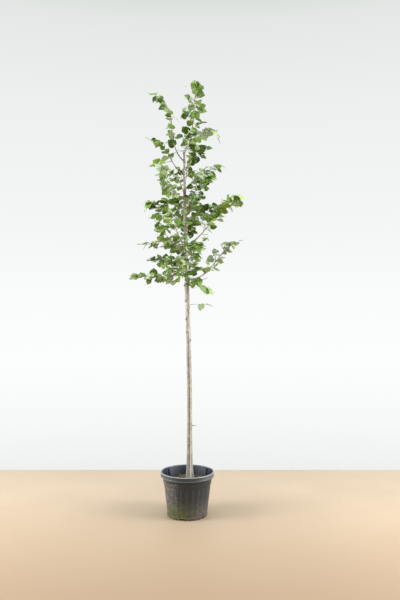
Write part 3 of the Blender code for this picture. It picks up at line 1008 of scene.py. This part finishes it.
def make_pot(look, inner_look):
    """The pot, with its inner look on the faces that look towards its axis below the lip."""
    pot = turn_up("pot_shell", pot_profile(), POT_SIDES)
    raise_ribs(pot)
    cut_drains(pot)
    smooth(pot, 32)
    finish_piece(pot, [look, inner_look], ["pot"])
    faces = pot.data.polygons
    middles, facing = values_of(faces, "center"), values_of(faces, "normal")
    inward = (middles[:, :2] * facing[:, :2]).sum(axis=1) < -0.05
    inward &= middles[:, 2] < POT_HEIGHT - 0.004
    faces.foreach_set("material_index", inward.astype(int))


def make_lugs(look):
    """Stacking lugs on the inner wall under the lip, leaning out with the wall."""
    lugs = []
    middle = NECK_HEIGHT - 0.002
    for degrees in LUG_TURNS:
        turn = math.radians(degrees)
        reach = wall_radius(middle) - WALL - 0.4 * LUG_SIZE[0]
        place = (reach * math.cos(turn), reach * math.sin(turn), middle)
        bpy.ops.object.select_all(action="DESELECT")
        bpy.ops.mesh.primitive_cube_add(size=1, location=place, rotation=(0, 0, turn), scale=LUG_SIZE)
        lug = in_place(named(f"lug_{degrees}"))
        round_edges(lug, LUG_ROUND)
        places = corners(lug.data)
        lean = wall_radius(places[:, 2]) - wall_radius(middle)
        places[:, 0] += lean * math.cos(turn)
        places[:, 1] += lean * math.sin(turn)
        set_corners(lug.data, places)
        lugs.append(lug)
    piece = smooth(join(lugs, "stacking_lugs"))
    finish_piece(piece, [look])


# ---- compost and moss ----


def soil_height(x, y):
    """The compost's surface: a low mound round the stem, rough all over."""
    reach = math.hypot(x, y) / (NECK_RADIUS - WALL)
    mound = SOIL_EDGE + SOIL_MOUND * smoothstep(1.15 - reach)
    rough = noise.fractal(Vector((x, y, 0.3)) * 42, 0.6, 2.0, 5)
    return mound + SOIL_ROUGH * rough


def make_soil(look):
    """The compost, filling the pot from its floor up to a rough mound."""
    top = wall_radius(SOIL_EDGE) - WALL - SOIL_GAP
    profile = [(wall_radius(FLOOR) - WALL - SOIL_GAP, FLOOR + SOIL_GAP), (top, SOIL_EDGE)]
    for ring in range(1, SOIL_RINGS):
        profile.append((top * (1 - ring / SOIL_RINGS), SOIL_EDGE))
    soil = turn_up("compost_mound", profile, SOIL_SIDES)
    places = corners(soil.data)
    for place in places:
        if place[2] > SOIL_EDGE - 0.001:
            place[2] = soil_height(place[0], place[1])
    set_corners(soil.data, places)
    smooth(soil, 60)
    finish_piece(soil, [look], ["soil"])


def copies(name, models, spots):
    """One mesh of many copies. A spot is (model number, 3 by 3 turn and size, place)."""
    places, rings, counts, charts, slots = [], [], [], [], []
    used = 0
    shapes = [model_arrays(model) for model in models]
    for which, turn, place in spots:
        points, loops, sizes, chart, slot = shapes[which]
        places.append(points @ turn.T + place)
        rings.append(loops + used)
        counts.append(sizes)
        charts.append(chart)
        slots.append(slot)
        used += len(points)
    mesh = bpy.data.meshes.new(name)
    rings, counts = np.concatenate(rings), np.concatenate(counts)
    mesh.vertices.add(used)
    mesh.loops.add(len(rings))
    mesh.polygons.add(len(counts))
    mesh.vertices.foreach_set("co", np.concatenate(places).astype(np.float32).ravel())
    mesh.loops.foreach_set("vertex_index", rings)
    mesh.polygons.foreach_set("loop_start", np.concatenate(([0], np.cumsum(counts)[:-1])))
    mesh.polygons.foreach_set("material_index", np.concatenate(slots))
    chart = mesh.uv_layers.new(name="UVMap")
    chart.data.foreach_set("uv", np.concatenate(charts).astype(np.float32).ravel())
    mesh.update(calc_edges=True)
    mesh.validate()
    piece = bpy.data.objects.new(name, mesh)
    bpy.context.scene.collection.objects.link(piece)
    return piece


def model_arrays(model):
    """A model's corners, face loops, face sizes, map and material numbers, as arrays."""
    mesh = model.data
    loops = values_of(mesh.loops, "vertex_index", 1, int).ravel()
    sizes = values_of(mesh.polygons, "loop_total", 1, int).ravel()
    slots = values_of(mesh.polygons, "material_index", 1, int).ravel()
    if mesh.uv_layers:
        chart = values_of(mesh.uv_layers[0].data, "uv", 2)
    else:
        chart = np.zeros((len(loops), 2))
    return corners(mesh), loops, sizes, chart, slots


def frame_of(ahead, chance):
    """A turn that takes +Z to a direction, at any angle round it."""
    ahead = unit(ahead)
    side = unit(np.cross(ahead, direction(chance.uniform(0, math.tau), 0.1)))
    return np.array((side, np.cross(ahead, side), ahead)).T


def model_clod(index):
    """A small uneven clod, a unit across."""
    bpy.ops.object.select_all(action="DESELECT")
    bpy.ops.mesh.primitive_ico_sphere_add(subdivisions=2, radius=0.5)
    clod = named(f"clod_{index}")
    places = corners(clod.data)
    for place in places:
        place *= 1 + 0.55 * noise.noise(Vector(place) * 2.6 + Vector((index * 7.0, 0, 0)))
    set_corners(clod.data, places * np.array((1.0, 0.8, 0.6)))
    return clod


def soil_spot(chance, low, high):
    """A place on the compost, its reach from the middle between two radii."""
    reach = math.sqrt(chance.uniform(low * low, high * high))
    turn = chance.uniform(0, math.tau)
    x, y = reach * math.cos(turn), reach * math.sin(turn)
    return np.array((x, y, soil_height(x, y)))


def scatter(name, models, count, reach, size, seed, sunk):
    """Copies strewn over the compost, so many, their reach and size each between two limits."""
    chance = random.Random(seed)
    spots = []
    for _ in range(count):
        place = soil_spot(chance, *reach)
        across = chance.uniform(*size)
        turn = frame_of(UP + jitter(chance, 0.5), chance) * across
        place[2] += across * (0.5 - sunk) * 0.6
        spots.append((chance.randrange(len(models)), turn, place))
    return copies(name, models, spots)


# What lies on the compost: how many pieces, their size, seed, depth sunk as a share of their
# size, and look.
LITTER = {
    "compost_crumbs": (750, (0.0025, 0.010), 11, 0.2, ("crumb", (34, 32, 28), (84, 80, 70), 400)),
    "bark_chips": (170, (0.005, 0.015), 12, 0.2, ("bark_chip", (58, 49, 41), (104, 92, 76), 300)),
    "pale_grit": (110, (0.002, 0.006), 13, 0.1, ("grit", (150, 146, 136), (204, 200, 192), 500)),
}
CLOD_SHAPES = 4


def strew_soil():
    """Crumbs, bark chips and grit on the compost, clear of the stem and of the pot's wall."""
    reach = (0.02, wall_radius(SOIL_EDGE) - WALL - 0.008)
    clods = [model_clod(index) for index in range(CLOD_SHAPES)]
    for name, (count, size, seed, sunk, look) in LITTER.items():
        strewn = scatter(name, clods, count, reach, size, seed, sunk)
        finish_piece(smooth(strewn, 50), [speckled(*look)])
    discard(clods)


# Moss: how many places are tried, their reach from the stem, and a tuft's height.
MOSS_SEED = 21
MOSS_TRIES = 5200
MOSS_REACH = (0.030, 0.165)
MOSS_HEIGHT = (0.004, 0.008)


def model_tuft():
    """A short tapering moss stem, five-sided, a unit tall."""
    size = {"radius1": 0.17, "radius2": 0.02, "depth": 1}
    bpy.ops.object.select_all(action="DESELECT")
    bpy.ops.mesh.primitive_cone_add(vertices=5, location=(0, 0, 0.5), end_fill_type="NGON", **size)
    return in_place(named("tuft"))


def grow_moss():
    """Moss in patches on the compost, closest round the stem's foot."""
    chance = random.Random(MOSS_SEED)
    nearest, farthest = MOSS_REACH
    spots = []
    for _ in range(MOSS_TRIES):
        reach = nearest + (farthest - nearest) * chance.random() ** 1.6
        turn = chance.uniform(0, math.tau)
        x, y = STEM_FOOT_X + reach * math.cos(turn), reach * math.sin(turn)
        if math.hypot(x, y) > NECK_RADIUS - 0.02:
            continue
        if noise.noise(Vector((x, y, 0.7)) * 26) < (reach - 0.050) * 4.2:
            continue
        place = np.array((x, y, soil_height(x, y) - 0.001))
        tall = chance.uniform(*MOSS_HEIGHT)
        spots.append((0, frame_of(UP + jitter(chance, 0.45), chance) * tall, place))
    tuft = model_tuft()
    moss = copies("moss", [tuft], spots)
    discard([tuft])
    look = speckled("moss", (92, 98, 46), (152, 154, 88), 120)
    finish_piece(smooth(moss, 60), [look])


# ---- stem ----

# Healed cuts and knots on the stem: height, the way they face (270 is the front), and size.
KNOTS = (
    (1.703, 215, 0.011),
    (1.583, 228, 0.009),
    (1.448, 232, 0.009),
    (1.351, 240, 0.008),
    (1.291, 335, 0.009),
    (1.130, 100, 0.007),
    (0.905, 60, 0.006),
    (0.512, 250, 0.005),
)

# Short dead stubs: height, the way they point, rise, length from the axis, and thickness.
STUBS = (
    (0.659, 352, -8, 0.052, 0.0030),
    (1.690, 205, 20, 0.032, 0.0042),
    (1.722, 318, 25, 0.028, 0.0040),
    (1.655, 110, 30, 0.030, 0.0036),
    (2.085, 330, 35, 0.026, 0.0030),
    (2.262, 190, 30, 0.024, 0.0028),
)


def stem_radius(height):
    if height > LEADER_HEIGHT:
        share = (height - LEADER_HEIGHT) / (TREE_TOP - LEADER_HEIGHT)
        return LEADER_RADIUS + (TIP_RADIUS - LEADER_RADIUS) * share
    flare = FLARE * math.exp((SOIL_TOP - height) / FLARE_RISE)
    share = max(height - TAPER_FROM, 0.0) / (LEADER_HEIGHT - TAPER_FROM)
    return STEM_RADIUS + flare - (STEM_RADIUS - CUT_RADIUS) * share**TAPER_POWER


def on_stem(height, degrees):
    """The point on the bark at a height, facing an azimuth."""
    return stem_point(height) + direction(math.radians(degrees), 0.0) * stem_radius(height)


def swelling(height, turn, radius):
    """How far the bark stands out at a height and angle, for knots and where shoots leave."""
    out = 0.0
    for knot_height, degrees, size in KNOTS:
        rise = (height - knot_height) / size
        if abs(rise) < 3:
            apart = math.remainder(turn - math.radians(degrees), math.tau) * radius / size
            spread = rise * rise + apart * apart
            out += size * (0.55 * math.exp(-spread / 1.6) - 0.50 * math.exp(-spread * 3.5))
    for shoot in SHOOTS.values():
        if shoot.parent:
            continue
        rise = (height - shoot.at) / (shoot.radius * 2.4)
        if abs(rise) < 3:
            apart = math.remainder(turn - math.radians(shoot.azimuth), math.tau) * radius
            apart /= shoot.radius * 1.8
            out += shoot.radius * 0.55 * math.exp(-rise * rise - apart * apart)
    return out


def bark_relief(height, turn, radius):
    """Root-flare buttresses, slow unevenness and shallow upright cracks."""
    low = math.exp((SOIL_TOP - height) / 0.09)
    buttress = 0.0045 * low * (math.cos(5 * turn + 0.8) + 0.5 * math.cos(3 * turn - 1.1))
    around = Vector((math.cos(turn), math.sin(turn), 0.0))
    uneven = noise.noise(around * 0.8 + Vector((0, 0, height * 9))) * 0.045 * radius
    crack = noise.noise(around * 5.0 + Vector((2.0, 0, height * 11)))
    groove = -0.0011 * max(0.0, 1 - abs(crack) * 7) * min(radius / STEM_RADIUS, 1.0)
    fine = noise.noise(around * 11 + Vector((0, 4.0, height * 30))) * 0.00035
    return buttress + uneven + groove + fine


def stem_frame(height):
    """Two directions across the stem's axis at a height."""
    ahead = unit(stem_point(height + 0.01) - stem_point(height - 0.01))
    side = unit(np.array((ahead[2], 0.0, -ahead[0])))
    return side, np.cross(ahead, side)


def make_stem(look):
    """A tall cylinder cut into rings, each drawn to the stem's axis, girth and bark."""
    bpy.ops.object.select_all(action="DESELECT")
    bpy.ops.mesh.primitive_cylinder_add(
        vertices=STEM_SIDES, radius=1, depth=1, location=(0, 0, 0.5), end_fill_type="TRIFAN"
    )
    stem = in_place(named("stem"))
    for _ in range(2):
        pick(stem, "EDGE", edge_climbs(stem.data) > LEVEL)
        bpy.ops.mesh.subdivide(number_cuts=STEM_CUTS)
        object_mode()
    places = corners(stem.data)
    foot = SOIL_TOP - 0.010
    for place in places:
        height = foot + (TREE_TOP - foot) * place[2]
        turn, reach = math.atan2(place[1], place[0]), math.hypot(place[0], place[1])
        radius = stem_radius(height)
        if reach > 0.5:
            radius += swelling(height, turn, radius) + bark_relief(height, turn, radius)
        side, other = stem_frame(height)
        out = side * math.cos(turn) + other * math.sin(turn)
        place[:] = stem_point(height) + out * (radius * reach)
    set_corners(stem.data, places)
    smooth(stem, 70)
    finish_piece(stem, [look], ["trunk"])


# Steps from the old cut's rim to its middle: how far in, and how far up.
CUT_RINGS = ((0.0016, 0.0012), (0.0016, -0.0022), (0.0020, -0.0004))


def make_old_cut(bark, wood):
    """The healed cut where the old leader was taken off, beside the new one."""
    start = stem_point(LEADER_HEIGHT - CUT_SUNK)
    size = {"radius": CUT_RADIUS * 0.98, "depth": CUT_LENGTH, "location": (0, 0, CUT_LENGTH / 2)}
    bpy.ops.object.select_all(action="DESELECT")
    bpy.ops.mesh.primitive_cylinder_add(vertices=28, end_fill_type="NGON", **size)
    stub = in_place(named("old_leader_cut"))
    heights = values_of(stub.data.polygons, "center")[:, 2]
    pick(stub, "FACE", heights > CUT_LENGTH - 0.001)
    bpy.ops.transform.resize(value=(1.12, 1.12, 1))
    for inward, rise in CUT_RINGS:
        bpy.ops.mesh.inset(thickness=inward, depth=rise)
    object_mode()
    apply_modifier(stub, "SUBSURF", levels=2, render_levels=2)
    places = corners(stub.data)
    for place in places:
        place *= 1 + 0.06 * noise.noise(Vector(place) * 160)
        place[0] -= CUT_LEAN * smoothstep((place[2] - 0.015) / 0.04)
        place[2] += place[0] * CUT_SLOPE * smoothstep(place[2] / CUT_LENGTH)
    set_corners(stub.data, places + start)
    middles = values_of(stub.data.polygons, "center") - start
    smooth(stub, 60)
    finish_piece(stub, [bark, wood])
    on_cut = middles[:, 2] > CUT_LENGTH - 0.0025 + middles[:, 0] * CUT_SLOPE
    stub.data.polygons.foreach_set("material_index", on_cut.astype(int))


def make_stubs(look):
    """Dead stubs of shed side shoots, each a blunt taper."""
    pieces = []
    for height, degrees, rise, length, thick in STUBS:
        size = {"radius1": thick * 1.5, "radius2": thick * 0.45, "depth": length}
        bpy.ops.object.select_all(action="DESELECT")
        bpy.ops.mesh.primitive_cone_add(vertices=14, location=(0, 0, length / 2), **size)
        stub = in_place(named(f"stub_{len(pieces)}"))
        pick(stub, "EDGE", edge_climbs(stub.data) > length / 2)
        bpy.ops.mesh.subdivide(number_cuts=10)
        object_mode()
        aim = direction(math.radians(degrees), math.radians(rise))
        turn = Vector(aim).to_track_quat("Z", "Y").to_matrix()
        places = corners(stub.data)
        for place in places:
            place[:2] *= 1 + 0.35 * noise.noise(Vector((place[2] * 150, height * 9, 0)))
            place[0] += 0.004 * noise.noise(Vector((place[2] * 45, height * 5, 1)))
        set_corners(stub.data, places @ np.array(turn).T + stem_point(height))
        pieces.append(stub)
    finish_piece(smooth(join(pieces, "dead_stubs"), 50), [look])


# ---- shoots, twigs and leaves ----

# A shoot swells at its collar, over a short reach, and at each node. A side twig and a leaf's
# stalk thin out from one radius to another, and a stalk arches by a share of its leaf's width.
COLLAR_SWELL = 0.7
COLLAR_REACH = 0.010
NODE_SWELL = 0.16
TWIG_RADII = (0.0017, 0.0009)
STALK_RADII = (0.00085, 0.00055)
STALK_STEPS = 4
STALK_ARCH = 0.10
BUD_LENGTH = (0.0045, 0.0075)


def draw_limbs(name, runs, resolution):
    """Tapering limbs along runs of (point, radius), all in one mesh."""
    curve = bpy.data.curves.new(name, "CURVE")
    curve.dimensions = "3D"
    curve.bevel_depth = 1.0
    curve.bevel_resolution = resolution
    curve.use_fill_caps = True
    for run in runs:
        spline = curve.splines.new("POLY")
        spline.points.add(len(run) - 1)
        for target, (point, radius) in zip(spline.points, run):
            target.co = (*point, 1.0)
            target.radius = radius
    piece = bpy.data.objects.new(name, curve)
    bpy.context.scene.collection.objects.link(piece)
    work_on(piece)
    bpy.ops.object.convert(target="MESH")
    piece = named(name)
    edit_mode()
    bpy.ops.mesh.select_all(action="SELECT")
    bpy.ops.mesh.remove_doubles(threshold=WELD)
    bpy.ops.mesh.normals_make_consistent(inside=False)
    object_mode()
    return smooth(piece, 60)


def bough_run(shoot, points):
    """A shoot's points and radii: thick at its collar, a little swollen at each leaf's node."""
    steps = SHOOT_STEPS * 3
    run = []
    for index in range(steps + 1):
        share = index / steps
        radius = shoot.radius * LIMB_GIRTH * (1 - BOUGH_TAPER * share)
        radius *= 1 + COLLAR_SWELL * math.exp(-share * shoot.length / COLLAR_REACH)
        nodes = max((share - shoot.bare) * shoot.length / NODE_GAP, -1.0)
        radius *= 1 + NODE_SWELL * max(0.0, math.cos(nodes * math.tau)) ** 6
        point = at_share(points, share)
        wobble = noise.noise_vector(Vector(point) * 14) * shoot.radius * WOBBLE
        run.append((point + np.array(wobble) * min(share * 6, 1.0), radius))
    return run


def twig_run(points):
    thick, thin = TWIG_RADII
    count = len(points) - 1
    return [(point, thick + (thin - thick) * i / count) for i, point in enumerate(points)]


def stalk_run(leaf):
    """A leaf's stalk, arched up a little between the node and the blade."""
    thick, thin = STALK_RADII
    run = []
    for index in range(STALK_STEPS + 1):
        share = index / STALK_STEPS
        lift = UP * (STALK_ARCH * leaf.size * math.sin(math.pi * share))
        point = leaf.foot + (leaf.heel - leaf.foot) * share + lift
        run.append((point, thick + (thin - thick) * share))
    return run


# Half the width of a blade along it, as shares of its length, from heel to tip.
HEART_ALONG = (0.0, 0.10, 0.24, 0.40, 0.56, 0.72, 0.85, 0.93, 1.0)
HEART_HALF = (0.36, 0.490, 0.545, 0.530, 0.455, 0.325, 0.165, 0.060, 0.006)
HEEL_NOTCH = 0.13
BLADE_THICKNESS = 0.009


def model_blade(index):
    """One heart-shaped blade of unit width, its stalk's end at the origin and its tip on +Y."""
    chance = random.Random(index + 40)
    fold = chance.uniform(0.04, 0.22)
    curl = chance.uniform(0.05, 0.24)
    cup = chance.uniform(-0.12, 0.16)
    lean = chance.uniform(-0.10, 0.10)
    ripple = chance.uniform(0.02, 0.05)
    phase = chance.uniform(0, math.tau)
    bpy.ops.object.select_all(action="DESELECT")
    bpy.ops.mesh.primitive_grid_add(x_subdivisions=4, y_subdivisions=8, size=1, calc_uvs=True)
    blade = named(f"blade_{index}")
    places = corners(blade.data)
    for place in places:
        aside, along = place[0] * 2, place[1] + 0.5
        half = float(np.interp(along, HEART_ALONG, HEART_HALF))
        notch = HEEL_NOTCH * math.sin(math.pi * min(abs(aside) * 0.85, 1.0)) * (1 - along) ** 3
        x = aside * half * (1 + lean * np.sign(aside)) + lean * 0.3 * along * along
        z = fold * math.sqrt(x * x + 0.01) - curl * along * along + cup * x * x
        z += ripple * abs(aside) * math.sin(along * 9 + phase + (1.3 if aside > 0 else 0))
        place[:] = x, along * 1.02 - notch, z
    set_corners(blade.data, places)
    for _ in range(2):
        blade.data.materials.append(None)
    sides = {"offset": -1, "material_offset": 1, "material_offset_rim": 0}
    apply_modifier(blade, "SOLIDIFY", thickness=BLADE_THICKNESS, **sides)
    return blade


def blade_turn(leaf):
    side = np.cross(leaf.along, leaf.face)
    return np.array((side, leaf.along, leaf.face)).T * leaf.size


def model_bud():
    """A plump pointed bud, a unit long, on +Z."""
    bpy.ops.object.select_all(action="DESELECT")
    bpy.ops.mesh.primitive_uv_sphere_add(segments=6, ring_count=5, radius=0.5, location=(0, 0, 0.5))
    bud = in_place(named("bud"))
    places = corners(bud.data)
    for place in places:
        place[:2] *= 0.72 * (1 - 0.45 * place[2])
    set_corners(bud.data, places)
    return bud


# Last year's nutlets: the shoot each one stands on, how far along it, and its stalk's azimuth,
# rise and length.
NUTLETS = (
    ("right_7", 0.56, 150, 62, 0.046),
    ("right_7", 0.64, 140, 70, 0.044),
    ("right_7", 0.52, 260, -35, 0.034),
    ("left_6", 0.62, 120, 50, 0.040),
    ("left_6", 0.66, 240, -50, 0.034),
    ("right_1", 0.30, 80, 65, 0.040),
    ("right_1", 0.46, 60, 72, 0.038),
    ("right_1", 0.58, 100, 60, 0.036),
    ("left_2", 0.55, 200, 30, 0.036),
    ("back_4", 0.70, 60, 20, 0.040),
    ("back_5", 0.60, 130, -30, 0.036),
)
NUTLET_SEED = 31
NUTLET_ACROSS = (0.0105, 0.0125)


def hang_nutlets(axes, look):
    """Small round fruits, each at the end of a thin stalk."""
    chance = random.Random(NUTLET_SEED)
    bpy.ops.object.select_all(action="DESELECT")
    bpy.ops.mesh.primitive_uv_sphere_add(segments=12, ring_count=8, radius=0.5)
    fruit = named("nutlet")
    places = corners(fruit.data)
    for place in places:
        place[2] *= 1.12 + 0.3 * max(place[2], 0)
    set_corners(fruit.data, places)
    spots, stalks = [], []
    for name, share, azimuth, rise, length in NUTLETS:
        node = at_share(axes[name], share)
        way = direction(math.radians(azimuth), math.radians(rise))
        end = node + way * length
        bent = node + way * length * 0.5 + UP * 0.003
        stalks.append([(node, 0.0009), (bent, 0.0007), (end, 0.0007)])
        spots.append((0, frame_of(way, chance) * chance.uniform(*NUTLET_ACROSS), end))
    grown = copies("nutlets", [fruit], spots)
    discard([fruit])
    nutlets = join([grown, draw_limbs("nutlet_stalks", stalks, 1)], "nutlets")
    finish_piece(smooth(nutlets, 60), [look])


# Blade tones: upper side, underside and vein, off the chart.
TONES = {
    "deep": ((65, 99, 23), (130, 148, 98), (116, 138, 70)),
    "green": ((114, 147, 63), (154, 170, 124), (150, 172, 108)),
    "fresh": ((148, 174, 96), (180, 193, 146), (182, 201, 136)),
    # The pale tone is a painted sheen: a grey-green for glossy blades that reflect the bright room.
    "pale": ((159, 179, 141), (190, 202, 174), (186, 202, 164)),
    "young": ((150, 176, 70), (174, 192, 110), (182, 200, 120)),
}

# How a shoot's leaves are dealt out, by its tint: each tone's share.
DEALT = {
    "deep": (("deep", 0.50), ("green", 0.38), ("fresh", 0.12)),
    "green": (("green", 0.48), ("deep", 0.22), ("fresh", 0.24), ("pale", 0.06)),
    "pale": (("pale", 0.66), ("green", 0.20), ("fresh", 0.14)),
    "young": (("young", 0.65), ("fresh", 0.35)),
    "sunny": (("green", 0.42), ("young", 0.26), ("fresh", 0.24), ("deep", 0.08)),
    "light": (("green", 0.42), ("pale", 0.28), ("fresh", 0.30)),
    "muted": (("green", 0.46), ("deep", 0.22), ("pale", 0.22), ("fresh", 0.10)),
}


def deal_tone(chance, tint):
    draw = chance.random()
    for tone, share in DEALT[tint]:
        draw -= share
        if draw < 0:
            return tone
    return DEALT[tint][0][0]


def tint_of(node):
    """The tint of a CAD leaf mass: that of the longest shoot name that its own name starts with."""
    name = node.removeprefix("leaves_")
    matches = [shoot for shoot in SHOOTS if name.startswith(shoot)]
    return SHOOTS[max(matches, key=len)].tint if matches else LEADER.tint


def solids_named(start):
    return [node for node in frame["nodes"] if node.startswith(start)]


def grow_all(axes):
    """Each shoot's tint, side twigs and leaves, and the leader's."""
    growth = {}
    for name, shoot in SHOOTS.items():
        growth[name] = (shoot.tint, *grow_shoot(shoot, axes[name], shoot.seed))
    growth["leader"] = (LEADER.tint, *grow_leader(LEADER, LEADER.seed))
    return growth


def grow_crown(limb, stalk_look, bud_look, nutlet_look):
    """Every shoot with its twigs, leaves, stalks and buds, and the nutlets."""
    axes = shoot_axes()
    # Blender's noise vectors start from the clock unless they are given a seed.
    noise.seed_set(WOBBLE_SEED)
    boughs = [bough_run(shoot, axes[name]) for name, shoot in SHOOTS.items()]
    twigs, stalks, buds = [], [], []
    leaves = {tone: [] for tone in TONES}
    for name, (tint, side_twigs, grown) in grow_all(axes).items():
        chance = random.Random("tone " + name)
        twigs += [twig_run(points) for points in side_twigs]
        for leaf in grown:
            leaves[deal_tone(chance, tint)].append(leaf)
            stalks.append(stalk_run(leaf))
            aim = unit(leaf.heel - leaf.foot) + UP * 0.6
            buds.append((0, frame_of(aim, chance) * chance.uniform(*BUD_LENGTH), leaf.foot))
    finish_piece(draw_limbs("boughs", boughs, 4), [limb], solids_named("bough_"))
    finish_piece(draw_limbs("twigs", twigs, 1), [limb])
    finish_piece(draw_limbs("leaf_stalks", stalks, 0), [stalk_look])
    bud = model_bud()
    finish_piece(smooth(copies("buds", [bud], buds), 60), [bud_look])
    discard([bud])
    hang_nutlets(axes, nutlet_look)
    spread_leaves(leaves)


def spread_leaves(leaves):
    """The leaves of each tone as one piece, for the CAD leaf masses that are mostly of that tone."""
    blades = [model_blade(index) for index in range(BLADE_SHAPES)]
    for tone, (upper, under, vein) in TONES.items():
        spots = [(leaf.shape, blade_turn(leaf), leaf.heel) for leaf in leaves[tone]]
        masses = [node for node in solids_named("leaves_") if DEALT[tint_of(node)][0][0] == tone]
        looks = [
            leaf_face(f"leaf_{tone}", upper, vein, 0.36),
            leaf_face(f"leaf_{tone}_under", under, vein, 0.62),
        ]
        piece = smooth(copies(f"leaves_of_{tone}", blades, spots), 70)
        finish_piece(piece, looks, masses)
    discard(blades)


# ---- stage ----

# The wall's tone by how steeply a ray climbs: the ray's own Z, from -0.5 to 0.5, as a share.
WALL_TONES = (
    (0.00, 232, 234, 235),
    (0.25, 238, 240, 240),
    (0.33, 247, 248, 248),
    (0.43, 252, 253, 253),
    (0.56, 249, 250, 250),
    (0.68, 243, 245, 244),
    (0.84, 238, 240, 239),
    (0.96, 228, 231, 229),
    (1.00, 212, 219, 214),
)
FILL_FRONT = 0.42
FILL_BACK = 1.25

# Softboxes: place, the point each one faces, width and height, and power.
LIGHTS = {
    "left_softbox": ((-3.2, -0.9, 2.2), (0, 0, 1.6), (1.6, 3.2), 190),
    "right_softbox": ((3.2, -0.9, 2.2), (0, 0, 1.6), (1.6, 3.2), 190),
    "overhead": ((0, -0.4, 5.4), (0, 0, 1.5), (2.4, 2.4), 130),
}
LIGHT_COLOUR = (1.0, 0.995, 0.98)

FLOOR_BACK = 1.27
FLOOR_DEPTH = 14.0
FLOOR_WIDTH = 16.0


def set_camera():
    aim = (math.radians(90) + CAMERA_PITCH, 0, 0)
    bpy.ops.object.camera_add(location=CAMERA_PLACE, rotation=aim)
    camera = named("camera")
    camera.data.lens = CAMERA_LENS
    camera.data.sensor_width = CAMERA_SENSOR
    bpy.context.scene.camera = camera


def set_lights():
    for name, (place, aim, size, power) in LIGHTS.items():
        bpy.ops.object.light_add(type="AREA", location=place)
        light = named(name)
        light.data.shape = "RECTANGLE"
        light.data.size, light.data.size_y = size
        light.data.energy = power
        light.data.color = LIGHT_COLOUR
        light.rotation_euler = (Vector(aim) - Vector(place)).to_track_quat("-Z", "Y").to_euler()


def set_backdrop():
    """A white room: bright behind the tree, and a fill on it that is dimmer from the front."""
    world = bpy.data.worlds.new("white_room")
    bpy.context.scene.world = world
    world.use_nodes = True
    tree = world.node_tree
    tree.nodes.clear()
    way = add_node(tree, "TexCoord").outputs["Generated"]
    split = add_node(tree, "SeparateXYZ", {"Vector": way})
    climb = {"Value": split.outputs["Z"], "From Min": -0.5, "From Max": 0.5}
    wall = add_node(tree, "ValToRGB", {"Fac": add_node(tree, "MapRange", climb).outputs["Result"]})
    set_stops(wall.color_ramp, WALL_TONES)
    seen = add_node(tree, "Background", {"Color": wall.outputs["Color"]})
    behind = {"Value": split.outputs["Y"], "From Min": -1.0, "To Min": FILL_FRONT, "To Max": FILL_BACK}
    strength = add_node(tree, "MapRange", behind).outputs["Result"]
    fill = add_node(tree, "Background", {"Strength": strength})
    seen_directly = add_node(tree, "LightPath").outputs["Is Camera Ray"]
    choose = {"Fac": seen_directly, 1: fill.outputs["Background"], 2: seen.outputs["Background"]}
    chosen = add_node(tree, "MixShader", choose)
    add_node(tree, "OutputWorld", {"Surface": chosen.outputs["Shader"]})


def set_stops(ramp, stops):
    while len(ramp.elements) < len(stops):
        ramp.elements.new(0.5)
    for element, (place, *tone) in zip(ramp.elements, stops):
        element.position = place
        element.color = paint(*tone)


def make_floor():
    bpy.ops.object.select_all(action="DESELECT")
    bpy.ops.mesh.primitive_plane_add(size=1, location=(0, FLOOR_BACK - FLOOR_DEPTH / 2, 0))
    floor = named("floor")
    floor.scale = (FLOOR_WIDTH, FLOOR_DEPTH, 1)
    in_place(floor)
    mix = Recipe("pale_floor")
    cloud = mix.noise(size=1.2, detail=3)
    mix.mingle(mix.span(cloud, 0.3, 0.7), (174, 158, 136), (180, 164, 142))
    # Painted shade: darker towards the camera, for the light's fall-off across the floor.
    mix.coat(mix.span(mix.part("Y"), 1.2, -1.8), (146, 124, 98))
    floor.data.materials.append(mix.finish(0.6))


def main():
    bpy.context.scene.view_settings.view_transform = "Standard"
    set_camera()
    plastic = black_plastic()
    bark = stem_bark()
    limb = limb_bark()
    inner = inner_plastic()
    make_pot(plastic, inner)
    make_lugs(inner)
    make_soil(compost())
    strew_soil()
    grow_moss()
    make_stem(bark)
    make_old_cut(bark, cut_wood())
    make_stubs(limb)
    stalk = speckled("leaf_stalk", (140, 148, 84), (172, 168, 110), 60, 0.55)
    bud = speckled("bud_scale", (132, 66, 48), (160, 104, 60), 200, 0.45)
    nutlet = speckled("nutlet", (44, 38, 33), (76, 66, 54), 300, 0.8)
    grow_crown(limb, stalk, bud, nutlet)
    make_floor()
    set_lights()
    set_backdrop()


main()
